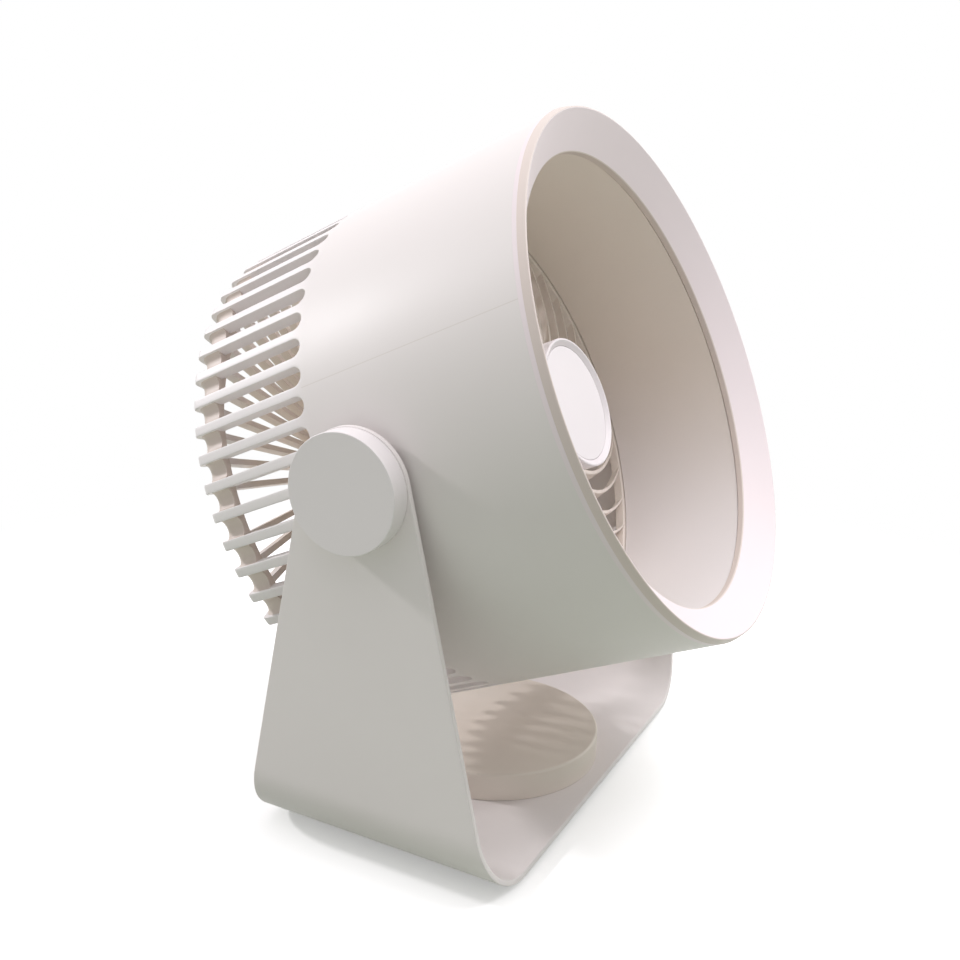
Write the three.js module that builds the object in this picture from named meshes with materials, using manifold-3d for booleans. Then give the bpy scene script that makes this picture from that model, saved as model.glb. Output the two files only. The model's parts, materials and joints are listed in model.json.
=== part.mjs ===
// Air circulator fan: a slatted drum that tilts between the arms of a U-shaped stand.
// Millimetres. +Z is up, -Y is the front, +X is the right-hand arm seen from the front.
// The origin lies on the ground under the tilt axis, in the middle between the arms.
// Inside the drum group +Y runs forward along the fan axis from the tilt axis, and +X is
// the tilt axis, so a drum length below is a distance in front of or behind the tilt axis.

import * as THREE from 'three';
import { mergeVertices, toCreasedNormals } from 'three/addons/utils/BufferGeometryUtils.js';
import Module from 'manifold-3d';

const wasm = await Module();
wasm.setup();

// ---------------------------------------------------------------- driving dimensions

const seatGap = 0.3;            // between pieces that rest on or sit in each other
const runGap = 0.6;             // between pieces that move past each other
const shaftFit = 0.1;           // between a turning shaft and its bearing

// stand
const pivotHeight = 145.2;
const restTilt = THREE.MathUtils.degToRad(23.7);
const strapThickness = 2.2;
const strapBend = 28;           // outside radius of the two bends
const baseDepth = 107.2;
const baseAhead = 2.1;          // how far the base's middle lies in front of the tilt axis
const armTopRadius = 20.9;
const padThickness = 1.5;
const padInset = 3.5;
const padCorner = 6;
const discRadius = 46.3;
const discHeight = 11.8;
const discWall = 2.2;
const discEdge = 1.2;
const ballastThickness = 5;
const baseScrewCircle = 30;
const baseScrewCount = 3;

// drum casing
const drumRadius = 100;
const drumWall = 2.6;
const rimForward = 76;
const backBehind = 68.2;
const bezelWidth = 14;
const bezelDepth = 8.8;
const bezelBand = 4.2;          // width of the outer band that shows behind the rim
const bezelLip = 2.3;           // short straight wall at the mouth
const bezelWall = 2;
const bezelSkirt = 8;
const bezelEdge = 1;

// slats and rear spokes
const slatCount = 58;
const slatWidth = 3.7;
const slatDepth = 4.5;
const slotStartBehind = 14.5;
const slotRearWall = 11.2;        // from the back face to the rear end of the slots
const slatRoot = 2;             // from the slot's front end to where the wall gets thicker
const slatEdge = 1.8;           // corner at the rear end of a slat
const cornerStep = 3.1;         // how far the corner ring lies below the slats
const cornerSink = 1.2;         // how far it lies in front of the back face
const cornerThickness = 2.4;
const cornerBend = 4;
const spokeStart = 12.4;        // from the drum's side to the outer end of the rear spokes
const backPlate = 4.3;
const spokeTipWidth = 1.8;
const podRim = 1.6;             // flat rim around the pod that the spokes run into

// motor pod in the middle of the back
const podRadius = 38;
const podWall = 4;
const podDepth = 20;
const webThickness = 2.8;
const coverThickness = 3;
const coverPostRadius = 2.8;
const coverPostInset = 7;       // from the pod's inside wall to the circle of the posts
const coverPostCount = 3;
const coverOverhang = 0.8;
const coverEdge = 0.8;

// air duct and front grille
const ductWall = 1.8;
const ductStep = 0.5;           // the duct lies this much outside the front ring's mouth
const ductFlange = 1.6;
const ringForward = 9;
const ringThickness = 4;
const ringWidth = 5.9;
const ringShows = 1.6;          // how much of the grille ring shows inside the duct
const vaneCount = 40;
const vaneThickness = 1.8;
const vaneRise = 6;             // extra height of a vane at the hub
const vaneLean = 2.2;
const vaneSwirl = THREE.MathUtils.degToRad(30);
const vanePhase = THREE.MathUtils.degToRad(-0.5);
const vaneInset = 0.2;          // from a vane's edges to the faces of the ring
const hubRadius = 25.5;
const hubForward = 38.3;
const hubWall = 1.8;
const hubRecess = 1.3;
const hubEdge = 0.7;
const capDiscRadius = 22.5;
const capDiscThickness = 2.5;
const capDiscEdge = 0.6;
const capPlugDepth = 4;
const lugCount = 4;
const lugWidth = 9;

// tilt pivots
const padProud = 0.1;           // the flat round pads on the drum's sides
const padRadius = 10;
const washerThickness = 1.3;
const boltRadius = 2.5;
const boltHeadRadius = 6.5;
const boltHeadHeight = 3.2;
const boltSocketDepth = 2;
const bossRadius = 4.7;
const bossDepth = 4.4;
const nutThickness = 3;
const nutRadius = 4.5;
const bushWall = 1.9;
const bushFlange = 1;
const bushFlangeRadius = 7.2;
const capRadius = 20.3;
const capThickness = 7.8;
const capShell = 2.2;
const capEdge = 1.5;
const capPegRadius = 1.5;
const capPegSpread = 12.5;

// impeller and motor
const bladeCount = 7;
const tipClearance = 2;
const impellerHubRadius = 30.5;
const impellerHubWall = 1.9;
const impellerEdge = 3;
const impellerFace = 3;
const impellerBossWall = 3.7;
const impellerBossDepth = 6;
const impellerFrontBehind = 5;  // front face of the impeller hub
const impellerDepth = 26;
const bladeThickness = 2;
const bladeTipThickness = 1.3;
const bladeRootRise = 10.9;     // half of a blade's length along the axis, at the hub
const bladeTipRise = 8.8;
const bladeRootSpan = 9;        // half of a blade's width around the axis, at the hub
const bladeTipSpan = 24;
const bladeCamber = 3.5;
const bladeSweep = THREE.MathUtils.degToRad(7);
const motorRadius = 26.5;
const motorShell = 1.5;
const motorLength = 27;
const motorJoint = 12;          // length of the rear half of the motor shell
const motorEye = 1;             // from the shaft to the holes in the motor's ends
const shaftRadius = 2.5;
const shaftForward = 1.5;
const shaftTail = 3;
const bearingRadius = 8;
const bearingWidth = 4;
const bearingSeatWall = 1.5;
const webEye = 3;               // from the bearing's radius to the hole in the web
const coreLength = 13;
const coreWall = 9;
const coilThickness = 2.6;
const coilInset = 1;
const coilOutset = 2;
const rotorRadius = 14.6;
const impellerNutRadius = 5.5;
const impellerNutHeight = 4;
const motorScrewCircle = 21;
const motorScrewCount = 3;
const motorScrewTip = 2.5;

// control board, button and power inlet
const boardThickness = 1.6;
const boardInset = 2;
const boardForward = 8.4;       // from the back face to the board
const buttonRadius = 6;
const buttonFlange = 1.6;       // how far the flange stands out around the button
const buttonEdge = 0.5;
const buttonTravel = 1.2;
const buttonProud = 0.9;
const switchSize = 6;
const switchHeight = 3.4;
const inletOffset = 17;
const inletRadius = 4.2;
const inletBore = 2.9;
const inletPinRadius = 0.8;
const inletPinSink = 0.8;
const inletRecess = 0.4;
const inletDepth = 7;
const leadRadius = 1.4;
const leadOffset = 15;

// fasteners
const screwRadius = 1.5;
const screwHeadRadius = 2.4;
const screwHeadHeight = 1.4;
const screwSlot = 0.6;
const screwBite = 5;
const screwPostWall = 2.2;

// facets on round surfaces
const wideFacets = 40;
const midFacets = 24;
const smallFacets = 16;
const boreFacets = 12;
const holeFacets = 8;
const hexFacets = 6;
const edgeSteps = 2;            // on a rounded edge
const cornerSteps = 4;          // on a rounded corner
const strapSteps = 5;           // on a bend of the strap
const slotSteps = 4;            // on the round end of a slot
const vaneSteps = 3;            // along a vane or a blade
const cutPast = 1;              // how far a cutting shape reaches past a surface

// ---------------------------------------------------------------- derived dimensions

const slatPitch = 2 * Math.PI / slatCount;
const drumBore = drumRadius - drumWall;
const slatBore = drumRadius - slatDepth;
const slotWidth = drumRadius * slatPitch - slatWidth;
const bandBack = rimForward - bezelBand;
const casingFront = bandBack - seatGap;
const slotEndBehind = backBehind - slotRearWall;
const plateInside = backBehind - backPlate;
const cornerBack = backBehind - cornerSink;
const podBore = podRadius - podWall;
const coverPostCircle = podBore - coverPostInset;
const webFrontBehind = backBehind - podDepth;
const webBackBehind = webFrontBehind + webThickness;

const outletRadius = drumRadius - bezelWidth;
const bezelMouth = rimForward - bezelDepth;
const bezelBack = bezelMouth - bezelLip;
const dishSlope = bezelDepth / (bezelWidth - bezelEdge);
const ringOuter = drumBore - seatGap;
const ringInner = ringOuter - ringWidth;
const ringBack = ringForward - ringThickness;
const lugCircle = (ringInner + ringOuter) / 2;
const spokeOuter = drumRadius - spokeStart;
const spokeInner = podRadius + podRim;
const ductBack = ringForward + seatGap;
const throatRadius = ringInner + ringShows;
const ductFront = bezelBack - seatGap;
const hubCapSeat = hubForward - hubRecess - capDiscThickness - seatGap;
const hubCapBore = capDiscRadius + seatGap;

const baseFront = -baseAhead - baseDepth / 2;
const baseBack = baseDepth / 2 - baseAhead;
const strapBottom = padThickness + seatGap;
const strapTop = strapBottom + strapThickness;
const washerIn = drumRadius + padProud + seatGap;
const armInside = washerIn + washerThickness + seatGap;
const armOutside = armInside + strapThickness;
const bushOut = armOutside + seatGap + bushFlange;
const bushBore = boltRadius + shaftFit;
const bushRadius = bushBore + bushWall;
const boltHeadIn = bushOut + seatGap;
const boltHeadOut = boltHeadIn + boltHeadHeight;
const capInside = armOutside + seatGap;
const capOutside = armOutside + capThickness;
const bossInside = drumBore - bossDepth;
const nutOut = bossInside - seatGap;
const nutIn = nutOut - nutThickness;
const discBottom = strapTop + seatGap;
const discTop = strapTop + discHeight;
const ballastTop = discBottom + seatGap + ballastThickness;
const discPostRadius = screwRadius + screwPostWall;
const screwTop = discBottom + screwBite;

const impellerRadius = nutIn - tipClearance;
const motorBack = webFrontBehind - seatGap;
const motorFront = motorBack - motorLength;
const motorSplit = motorBack - motorJoint;
const coreMiddle = (motorBack + motorFront) / 2;
const coreBack = coreMiddle + coreLength / 2;
const coreFront = coreMiddle - coreLength / 2;
const motorBore = motorRadius - motorShell;
const coreOuter = motorBore - seatGap;
const screwHole = screwRadius + seatGap;
const screwSink = screwHeadRadius + seatGap;

const boardBack = backBehind - boardForward;
const coverInside = backBehind + seatGap;
const coverOutside = coverInside + coverThickness;
const switchTop = boardBack + seatGap + switchHeight;
const buttonFront = switchTop + buttonTravel + seatGap;
const buttonBack = coverOutside + buttonProud;
const inletBack = coverOutside - inletRecess;

// ---------------------------------------------------------------- materials

const finish = (color, roughness, metalness = 0) =>
  new THREE.MeshStandardMaterial({ color, roughness, metalness });
const creamPlastic = finish(0xe9e2dc, 0.5);
const innerPlastic = finish(0xe2dad2, 0.55);
const capPlastic = finish(0xefe9e4, 0.45);
const darkPlastic = finish(0x2c2d2f, 0.55);
const greyPlastic = finish(0xb9b7b2, 0.5);
const padRubber = finish(0x33332f, 0.9);
const steel = finish(0xb8bbc0, 0.35, 1);
const darkSteel = finish(0x5c5f63, 0.5, 1);
const copper = finish(0xb4693a, 0.4, 1);
const boardGreen = finish(0x2f5f3c, 0.6);

// ---------------------------------------------------------------- shape helpers

// A closed geometry becomes a solid with its faces pointing out.
function toSolid(geometry) {
  const bare = new THREE.BufferGeometry();
  bare.setAttribute('position', geometry.getAttribute('position'));
  if (geometry.index) bare.setIndex(geometry.index);
  const merged = mergeVertices(bare, 1e-4);
  const points = merged.getAttribute('position').array;
  const corners = merged.index.array;
  const faces = [];
  let volume = 0;
  const [a, b, c] = [new THREE.Vector3(), new THREE.Vector3(), new THREE.Vector3()];
  for (let i = 0; i < corners.length; i += 3) {
    const [p, q, r] = [corners[i], corners[i + 1], corners[i + 2]];
    if (p === q || q === r || r === p) continue;
    faces.push([p, q, r]);
    a.fromArray(points, 3 * p);
    b.fromArray(points, 3 * q);
    c.fromArray(points, 3 * r);
    volume += a.dot(b.cross(c));
  }
  const turned = volume < 0 ? faces.map(([p, q, r]) => [p, r, q]) : faces;
  return new wasm.Manifold(new wasm.Mesh({
    numProp: 3,
    vertProperties: new Float32Array(points),
    triVerts: new Uint32Array(turned.flat()),
  }));
}

const join = (first, ...others) => others.reduce((sum, other) => sum.add(other), first);
const cut = (first, ...tools) => tools.reduce((rest, tool) => rest.subtract(tool), first);

// Points [radius, height] turned about Y, closed on themselves, with a corner on the +X axis.
function turned(profile, segments) {
  const outline = profile.map(([radius, height]) => new THREE.Vector2(radius, height));
  if (profile[0][0] > 0 || profile.at(-1)[0] > 0) outline.push(outline[0].clone());
  return new THREE.LatheGeometry(outline, segments, Math.PI / 2);
}

const lathe = (profile, segments) => toSolid(turned(profile, segments));

const rodShape = (radius, from, to, segments) =>
  new THREE.CylinderGeometry(radius, radius, to - from, segments).translate(0, (from + to) / 2, 0);

// A rod along the fan axis, moved sideways to [x, z].
const rod = (radius, from, to, segments, [x, z] = [0, 0]) =>
  toSolid(rodShape(radius, from, to, segments).translate(x, 0, z));

// Something turned about Y is laid along the tilt axis, on the side +1 or -1.
const alongTilt = (geometry, side) => geometry.rotateZ(-side * Math.PI / 2);

// Something turned about Y is stood upright.
const upright = geometry => geometry.rotateX(Math.PI / 2);

// An outline drawn in X and Y, extruded from one Z to another.
function slab(outline, from, to, curveSegments = cornerSteps) {
  const shape = outline instanceof THREE.Shape
    ? outline
    : new THREE.Shape(outline.map(([x, y]) => new THREE.Vector2(x, y)));
  return new THREE.ExtrudeGeometry(shape, { depth: to - from, bevelEnabled: false, curveSegments })
    .translate(0, 0, from);
}

const block = (size, centre) =>
  toSolid(new THREE.BoxGeometry(...size).translate(...centre));

// Sections with the same number of corners are joined into one closed body.
function loft(sections) {
  const corners = sections[0].length;
  const last = (sections.length - 1) * corners;
  const index = [];
  for (let row = 0; row < sections.length - 1; row += 1) {
    for (let i = 0; i < corners; i += 1) {
      const here = row * corners + i;
      const next = row * corners + (i + 1) % corners;
      index.push(here, next, next + corners, here, next + corners, here + corners);
    }
  }
  for (let i = 1; i < corners - 1; i += 1) {
    index.push(0, i + 1, i, last, last + i, last + i + 1);
  }
  const geometry = new THREE.BufferGeometry();
  const values = sections.flat().flatMap(point => point.toArray());
  geometry.setAttribute('position', new THREE.Float32BufferAttribute(values, 3));
  geometry.setIndex(index);
  return geometry;
}

// Rounded corner of a profile: an arc from one angle to another, in degrees.
function arc(centre, radius, fromDegrees, toDegrees, steps) {
  return Array.from({ length: steps + 1 }, (_, i) => {
    const angle = THREE.MathUtils.degToRad(fromDegrees + (toDegrees - fromDegrees) * i / steps);
    return [centre[0] + radius * Math.cos(angle), centre[1] + radius * Math.sin(angle)];
  });
}

// Sideways place [x, z] of a point on a circle about the fan axis.
const onCircle = (radius, angle) => [radius * Math.cos(angle), radius * Math.sin(angle)];

// A point at a radius and angle about the fan axis, and a distance along it.
const polar = (radius, angle, along) =>
  new THREE.Vector3(radius * Math.cos(angle), along, radius * Math.sin(angle));

function addPiece(group, name, body, material) {
  const { vertProperties, triVerts } = body.getMesh();
  const geometry = new THREE.BufferGeometry();
  geometry.setAttribute('position', new THREE.BufferAttribute(vertProperties, 3));
  geometry.setIndex(new THREE.BufferAttribute(triVerts, 1));
  const mesh = new THREE.Mesh(toCreasedNormals(geometry, Math.PI / 5), material.clone());
  mesh.name = name;
  group.add(mesh);
}

// A screw along +Y from its head, which starts at the given place.
function screw(headAt, length) {
  const head = rodShape(screwHeadRadius, headAt, headAt + screwHeadHeight, holeFacets);
  const shank = rodShape(screwRadius, headAt + screwHeadHeight / 2, headAt + length, hexFacets);
  const slot = new THREE.BoxGeometry(2 * screwRadius, screwHeadHeight, screwSlot);
  slot.translate(0, headAt, 0);
  return cut(join(toSolid(head), toSolid(shank)), toSolid(slot));
}

// ---------------------------------------------------------------- stand

const baseScrewPlaces = Array.from({ length: baseScrewCount }, (_, i) =>
  onCircle(baseScrewCircle, Math.PI / 2 + 2 * Math.PI * i / baseScrewCount))
  .map(([x, y]) => [x, y - baseAhead]);

// The arms' sloping edges run from the base's corners and touch the round top.
function armOutline() {
  const leanFrom = reach => Math.atan2(reach, pivotHeight)
    - Math.asin(armTopRadius / Math.hypot(reach, pivotHeight));
  const backLean = leanFrom(baseBack);
  const shape = new THREE.Shape();
  shape.moveTo(baseFront, 0);
  shape.lineTo(baseBack, 0);
  shape.lineTo(armTopRadius * Math.cos(backLean), pivotHeight + armTopRadius * Math.sin(backLean));
  shape.absarc(0, pivotHeight, armTopRadius, backLean, Math.PI - leanFrom(-baseFront), false);
  shape.lineTo(baseFront, 0);
  return shape;
}

// The strap seen from the front: two arms, two bends and the flat base.
function strapOutline() {
  const top = pivotHeight + armTopRadius + cutPast;
  const bendX = armOutside - strapBend;
  const bendZ = strapBottom + strapBend;
  const innerBend = strapBend - strapThickness;
  const shape = new THREE.Shape();
  shape.moveTo(-armOutside, top);
  shape.lineTo(-armOutside, bendZ);
  shape.absarc(-bendX, bendZ, strapBend, Math.PI, 1.5 * Math.PI, false);
  shape.absarc(bendX, bendZ, strapBend, 1.5 * Math.PI, 2 * Math.PI, false);
  shape.lineTo(armOutside, top);
  shape.lineTo(armInside, top);
  shape.absarc(bendX, bendZ, innerBend, 2 * Math.PI, 1.5 * Math.PI, true);
  shape.absarc(-bendX, bendZ, innerBend, 1.5 * Math.PI, Math.PI, true);
  shape.lineTo(-armInside, top);
  return shape;
}

function yokeBracket() {
  const strap = slab(strapOutline(), -baseBack, -baseFront, strapSteps);
  const arms = slab(armOutline(), -armOutside - cutPast, armOutside + cutPast, midFacets / 2);
  let yoke = toSolid(upright(strap)).intersect(toSolid(upright(arms).rotateZ(Math.PI / 2)));
  for (const side of [-1, 1]) {
    const through = [armInside - cutPast, armOutside + cutPast];
    const holes = [rodShape(bushRadius + seatGap, ...through, smallFacets)];
    for (const spread of [-capPegSpread, capPegSpread]) {
      holes.push(rodShape(capPegRadius + seatGap, ...through, holeFacets)
        .translate(0, 0, spread));
    }
    for (const hole of holes) {
      yoke = cut(yoke, toSolid(alongTilt(hole, side).translate(0, 0, pivotHeight)));
    }
  }
  for (const [x, y] of baseScrewPlaces) {
    const through = upright(rodShape(screwHole, 0, discBottom, holeFacets));
    const sink = upright(rodShape(screwSink, 0, strapBottom + screwHeadHeight, boreFacets));
    yoke = cut(yoke, toSolid(through.translate(x, y, 0)), toSolid(sink.translate(x, y, 0)));
  }
  return yoke;
}

function antiSlipPad() {
  const halfX = armOutside - strapBend;
  const halfY = baseDepth / 2 - padInset;
  const [x, y] = [halfX - padCorner, halfY - padCorner];
  const shape = new THREE.Shape();
  shape.absarc(x, y, padCorner, 0, Math.PI / 2, false);
  shape.absarc(-x, y, padCorner, Math.PI / 2, Math.PI, false);
  shape.absarc(-x, -y, padCorner, Math.PI, 1.5 * Math.PI, false);
  shape.absarc(x, -y, padCorner, 1.5 * Math.PI, 2 * Math.PI, false);
  return toSolid(slab(shape, 0, padThickness).translate(0, -baseAhead, 0));
}

// The plain round disc on the base: a shallow cup that covers the ballast.
function baseDisc() {
  const bore = discRadius - discWall;
  const profile = [
    [0, discTop - discWall],
    [bore, discTop - discWall],
    [bore, discBottom],
    [discRadius, discBottom],
    ...arc([discRadius - discEdge, discTop - discEdge], discEdge, 0, 90, edgeSteps),
    [0, discTop],
  ];
  const cup = toSolid(upright(turned(profile, wideFacets)).translate(0, -baseAhead, 0));
  return baseScrewPlaces.reduce((disc, [x, y]) => {
    const post = rodShape(discPostRadius, discBottom, discTop - discWall / 2, boreFacets);
    const hole = rodShape(screwHole, discBottom - cutPast, screwTop + cutPast, holeFacets);
    return cut(join(disc, toSolid(upright(post).translate(x, y, 0))),
      toSolid(upright(hole).translate(x, y, 0)));
  }, cup);
}

function ballastPlate() {
  const radius = discRadius - discWall - 2 * seatGap;
  const plate = toSolid(upright(rodShape(radius, discBottom + seatGap, ballastTop, midFacets))
    .translate(0, -baseAhead, 0));
  return baseScrewPlaces.reduce((rest, [x, y]) => {
    const hole = rodShape(discPostRadius + seatGap, discBottom, ballastTop + cutPast, boreFacets);
    return cut(rest, toSolid(upright(hole).translate(x, y, 0)));
  }, plate);
}

const baseScrew = () => screw(strapBottom, screwTop - strapBottom - seatGap);

// ---------------------------------------------------------------- pivots

function armBush(side) {
  const profile = [
    [bushBore, armInside + seatGap],
    [bushRadius, armInside + seatGap],
    [bushRadius, armOutside + seatGap],
    [bushFlangeRadius, armOutside + seatGap],
    [bushFlangeRadius, bushOut],
    [bushBore, bushOut],
  ];
  return toSolid(alongTilt(turned(profile, smallFacets), side));
}

function frictionWasher(side) {
  const profile = [
    [bushBore, washerIn],
    [padRadius, washerIn],
    [padRadius, washerIn + washerThickness],
    [bushBore, washerIn + washerThickness],
  ];
  return toSolid(alongTilt(turned(profile, smallFacets), side));
}

function pivotBolt(side) {
  const middle = (boltHeadIn + boltHeadOut) / 2;
  const socketEnds = [boltHeadOut - boltSocketDepth, boltHeadOut + cutPast];
  const shank = rodShape(boltRadius, nutIn, middle - boltSocketDepth / 2, smallFacets);
  const head = rodShape(boltHeadRadius, boltHeadIn, boltHeadOut, smallFacets);
  const socket = rodShape(boltRadius, ...socketEnds, hexFacets);
  const [shankBody, headBody, socketBody] = [shank, head, socket]
    .map(shape => toSolid(alongTilt(shape, side)));
  return cut(join(shankBody, headBody), socketBody);
}

function pivotNut(side) {
  const thread = [boltRadius + seatGap, nutIn - cutPast, nutOut + cutPast, smallFacets];
  return cut(
    toSolid(alongTilt(rodShape(nutRadius, nutIn, nutOut, hexFacets), side)),
    toSolid(alongTilt(rodShape(...thread), side)),
  );
}

// The plain round cap over the bolt, with two pegs that hold it in the arm.
function pivotCap(side) {
  const cavity = capRadius - capShell;
  const profile = [
    [0, capOutside - capShell],
    [cavity, capOutside - capShell],
    [cavity, capInside],
    [capRadius, capInside],
    ...arc([capRadius - capEdge, capOutside - capEdge], capEdge, 0, 90, edgeSteps),
    [0, capOutside],
  ];
  let cap = toSolid(alongTilt(turned(profile, midFacets + 4), side));
  for (const spread of [-capPegSpread, capPegSpread]) {
    const peg = rodShape(capPegRadius, armInside + seatGap, capOutside - capShell / 2, holeFacets);
    cap = join(cap, toSolid(alongTilt(peg.translate(0, 0, spread), side)));
  }
  return cap;
}

// ---------------------------------------------------------------- drum casing

// Cross-section of the casing before the slots are cut.
function casingProfile() {
  const bend = cornerStep + cornerThickness;
  const ringRadius = drumRadius - bend;
  const rootFront = slatRoot - slotStartBehind;
  return [
    [drumBore, casingFront],
    [drumRadius, casingFront],
    [drumRadius, slatEdge - backBehind],
    [drumRadius - slatEdge, -backBehind],
    [podBore, -backBehind],
    [podBore, -plateInside],
    [ringRadius - bend, -plateInside],
    [ringRadius, cornerStep - plateInside],
    [slatBore, slatRoot - slotEndBehind],
    [slatBore, rootFront],
    [drumBore, rootFront + slatDepth - drumWall],
  ];
}

// One slot along the drum, with a round front end.
function slotCutter(angle) {
  const half = slotWidth / 2;
  const outline = [
    [-half, -slotEndBehind],
    [half, -slotEndBehind],
    ...arc([0, -slotStartBehind - half], half, 0, 180, slotSteps),
  ];
  const floor = slatBore - cornerThickness - cornerStep;
  return slab(outline, floor, drumRadius + cutPast).rotateY(Math.PI / 2 + angle);
}

// The groove that leaves the slats proud around the rear corner.
function grooveCutter(angle) {
  const floor = drumRadius - cornerStep;
  const outline = [
    [drumRadius + cutPast, -slotEndBehind],
    [floor, -slotEndBehind],
    [floor, cornerBend - cornerBack],
    [floor - cornerBend, -cornerBack],
    [spokeOuter, -cornerBack],
    [spokeOuter, -backBehind - cutPast],
    [drumRadius + cutPast, -backBehind - cutPast],
  ];
  return slab(outline, -slotWidth / 2, slotWidth / 2).rotateY(angle);
}

// The wedge between two rear spokes.
function spokeCutter(angle) {
  const halfInner = (spokeInner * slatPitch - spokeTipWidth) / 2;
  const outline = [
    [spokeInner, -halfInner],
    [spokeOuter, -slotWidth / 2],
    [spokeOuter, slotWidth / 2],
    [spokeInner, halfInner],
  ];
  return upright(slab(outline, plateInside - cornerThickness, backBehind + cutPast))
    .rotateY(angle);
}

const coverPostPlaces = Array.from({ length: coverPostCount }, (_, i) =>
  onCircle(coverPostCircle, Math.PI / 6 + 2 * Math.PI * i / coverPostCount));
const motorScrewPlaces = Array.from({ length: motorScrewCount }, (_, i) =>
  onCircle(motorScrewCircle, Math.PI / 2 + 2 * Math.PI * i / motorScrewCount));
const lugAngles = Array.from({ length: lugCount }, (_, i) =>
  Math.PI / 4 + 2 * Math.PI * i / lugCount);
const leadPlace = [0, -leadOffset];
const inletPlace = [0, inletOffset];

// A block inside the casing that takes one grille screw.
function screwLug(angle) {
  const width = drumBore + drumWall / 2 - ringInner;
  const length = screwBite + cutPast;
  return new THREE.BoxGeometry(width, length, lugWidth)
    .translate(ringInner + width / 2, ringBack - seatGap - length / 2, 0)
    .rotateY(-angle);
}

function drumHousing() {
  let casing = lathe(casingProfile(), slatCount);
  for (let i = 0; i < slatCount; i += 1) {
    for (const cutter of [slotCutter, grooveCutter, spokeCutter]) {
      casing = cut(casing, toSolid(cutter(i * slatPitch)));
    }
  }
  const middle = drumBore + drumWall / 2;
  for (const side of [-1, 1]) {
    const pad = rodShape(padRadius, middle, drumRadius + padProud, midFacets);
    const boss = rodShape(bossRadius, bossInside, middle, boreFacets);
    const holeEnds = [bossInside - cutPast, drumRadius + padProud + cutPast];
    const hole = rodShape(boltRadius + seatGap, ...holeEnds, boreFacets);
    casing = join(casing, toSolid(alongTilt(pad, side)), toSolid(alongTilt(boss, side)));
    casing = cut(casing, toSolid(alongTilt(hole, side)));
  }
  for (const angle of lugAngles) {
    const place = onCircle(lugCircle, angle);
    const hole = rod(screwHole, ringBack - screwBite, ringBack + cutPast, holeFacets, place);
    casing = cut(join(casing, toSolid(screwLug(angle))), hole);
  }
  return casing;
}

// The cup behind the hub that carries the motor on its web and the board on its posts.
function motorMount() {
  let mount = lathe([
    [podBore, -plateInside + seatGap],
    [podRadius, -plateInside + seatGap],
    [podRadius, -webFrontBehind],
    [bearingRadius + webEye, -webFrontBehind],
    [bearingRadius + webEye, -webBackBehind],
    [podBore, -webBackBehind],
  ], midFacets);
  const postEnds = [seatGap - coverInside, webThickness / 2 - webBackBehind];
  const postBore = [-coverInside - cutPast, screwBite + cutPast - coverInside];
  for (const place of coverPostPlaces) {
    const post = rod(coverPostRadius, ...postEnds, boreFacets, place);
    mount = cut(join(mount, post), rod(screwHole, ...postBore, holeFacets, place));
  }
  const throughWeb = [-webBackBehind - cutPast, cutPast - webFrontBehind];
  for (const place of motorScrewPlaces) {
    mount = cut(mount, rod(screwHole, ...throughWeb, holeFacets, place));
  }
  return cut(mount, rod(leadRadius + seatGap, ...throughWeb, holeFacets, leadPlace));
}

// The front ring: a rounded outer band, a shallow dish and a short straight mouth.
function bezelRing() {
  const edgeMiddle = [drumRadius - bezelEdge, rimForward - bezelEdge];
  const behindMouth = outletRadius + bezelWall;
  const skirtBore = ringOuter - bezelWall;
  return lathe([
    [drumRadius, bandBack],
    ...arc(edgeMiddle, bezelEdge, 0, 90, edgeSteps),
    [outletRadius, bezelMouth],
    [outletRadius, bezelBack],
    [behindMouth, bezelBack],
    [skirtBore, bezelBack + (skirtBore - behindMouth) * dishSlope],
    [skirtBore, bandBack - bezelSkirt],
    [ringOuter, bandBack - bezelSkirt],
    [ringOuter, bandBack],
  ], slatCount);
}

// The smooth liner between the grille and the front ring, wider at the back.
function airDuct() {
  const front = outletRadius + ductStep;
  return lathe([
    [front, ductFront],
    [front + ductWall, ductFront],
    [throatRadius + ductWall, ductBack + ductFlange],
    [ringOuter, ductBack + ductFlange],
    [ringOuter, ductBack],
    [throatRadius, ductBack],
  ], slatCount);
}

// ---------------------------------------------------------------- front grille

// One vane: a thin curved strip that swirls out from the hub to the ring.
function vane(turn) {
  const inner = hubRadius - hubWall / 2;
  const outer = ringInner + vaneThickness;
  const back = ringBack + vaneInset;
  const sections = Array.from({ length: vaneSteps + 1 }, (_, i) => {
    const share = i / vaneSteps;
    const radius = inner + (outer - inner) * share;
    const spread = (radius ** 2 - inner ** 2) / (outer ** 2 - inner ** 2);
    const angle = turn - vaneSwirl * spread;
    const half = vaneThickness / 2 / radius;
    const lean = vaneLean / radius;
    const front = ringForward - vaneInset + vaneRise * (1 - share);
    return [
      polar(radius, angle - half + lean, back),
      polar(radius, angle - half, front),
      polar(radius, angle + half, front),
      polar(radius, angle + half + lean, back),
    ];
  });
  return toSolid(loft(sections));
}

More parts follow.
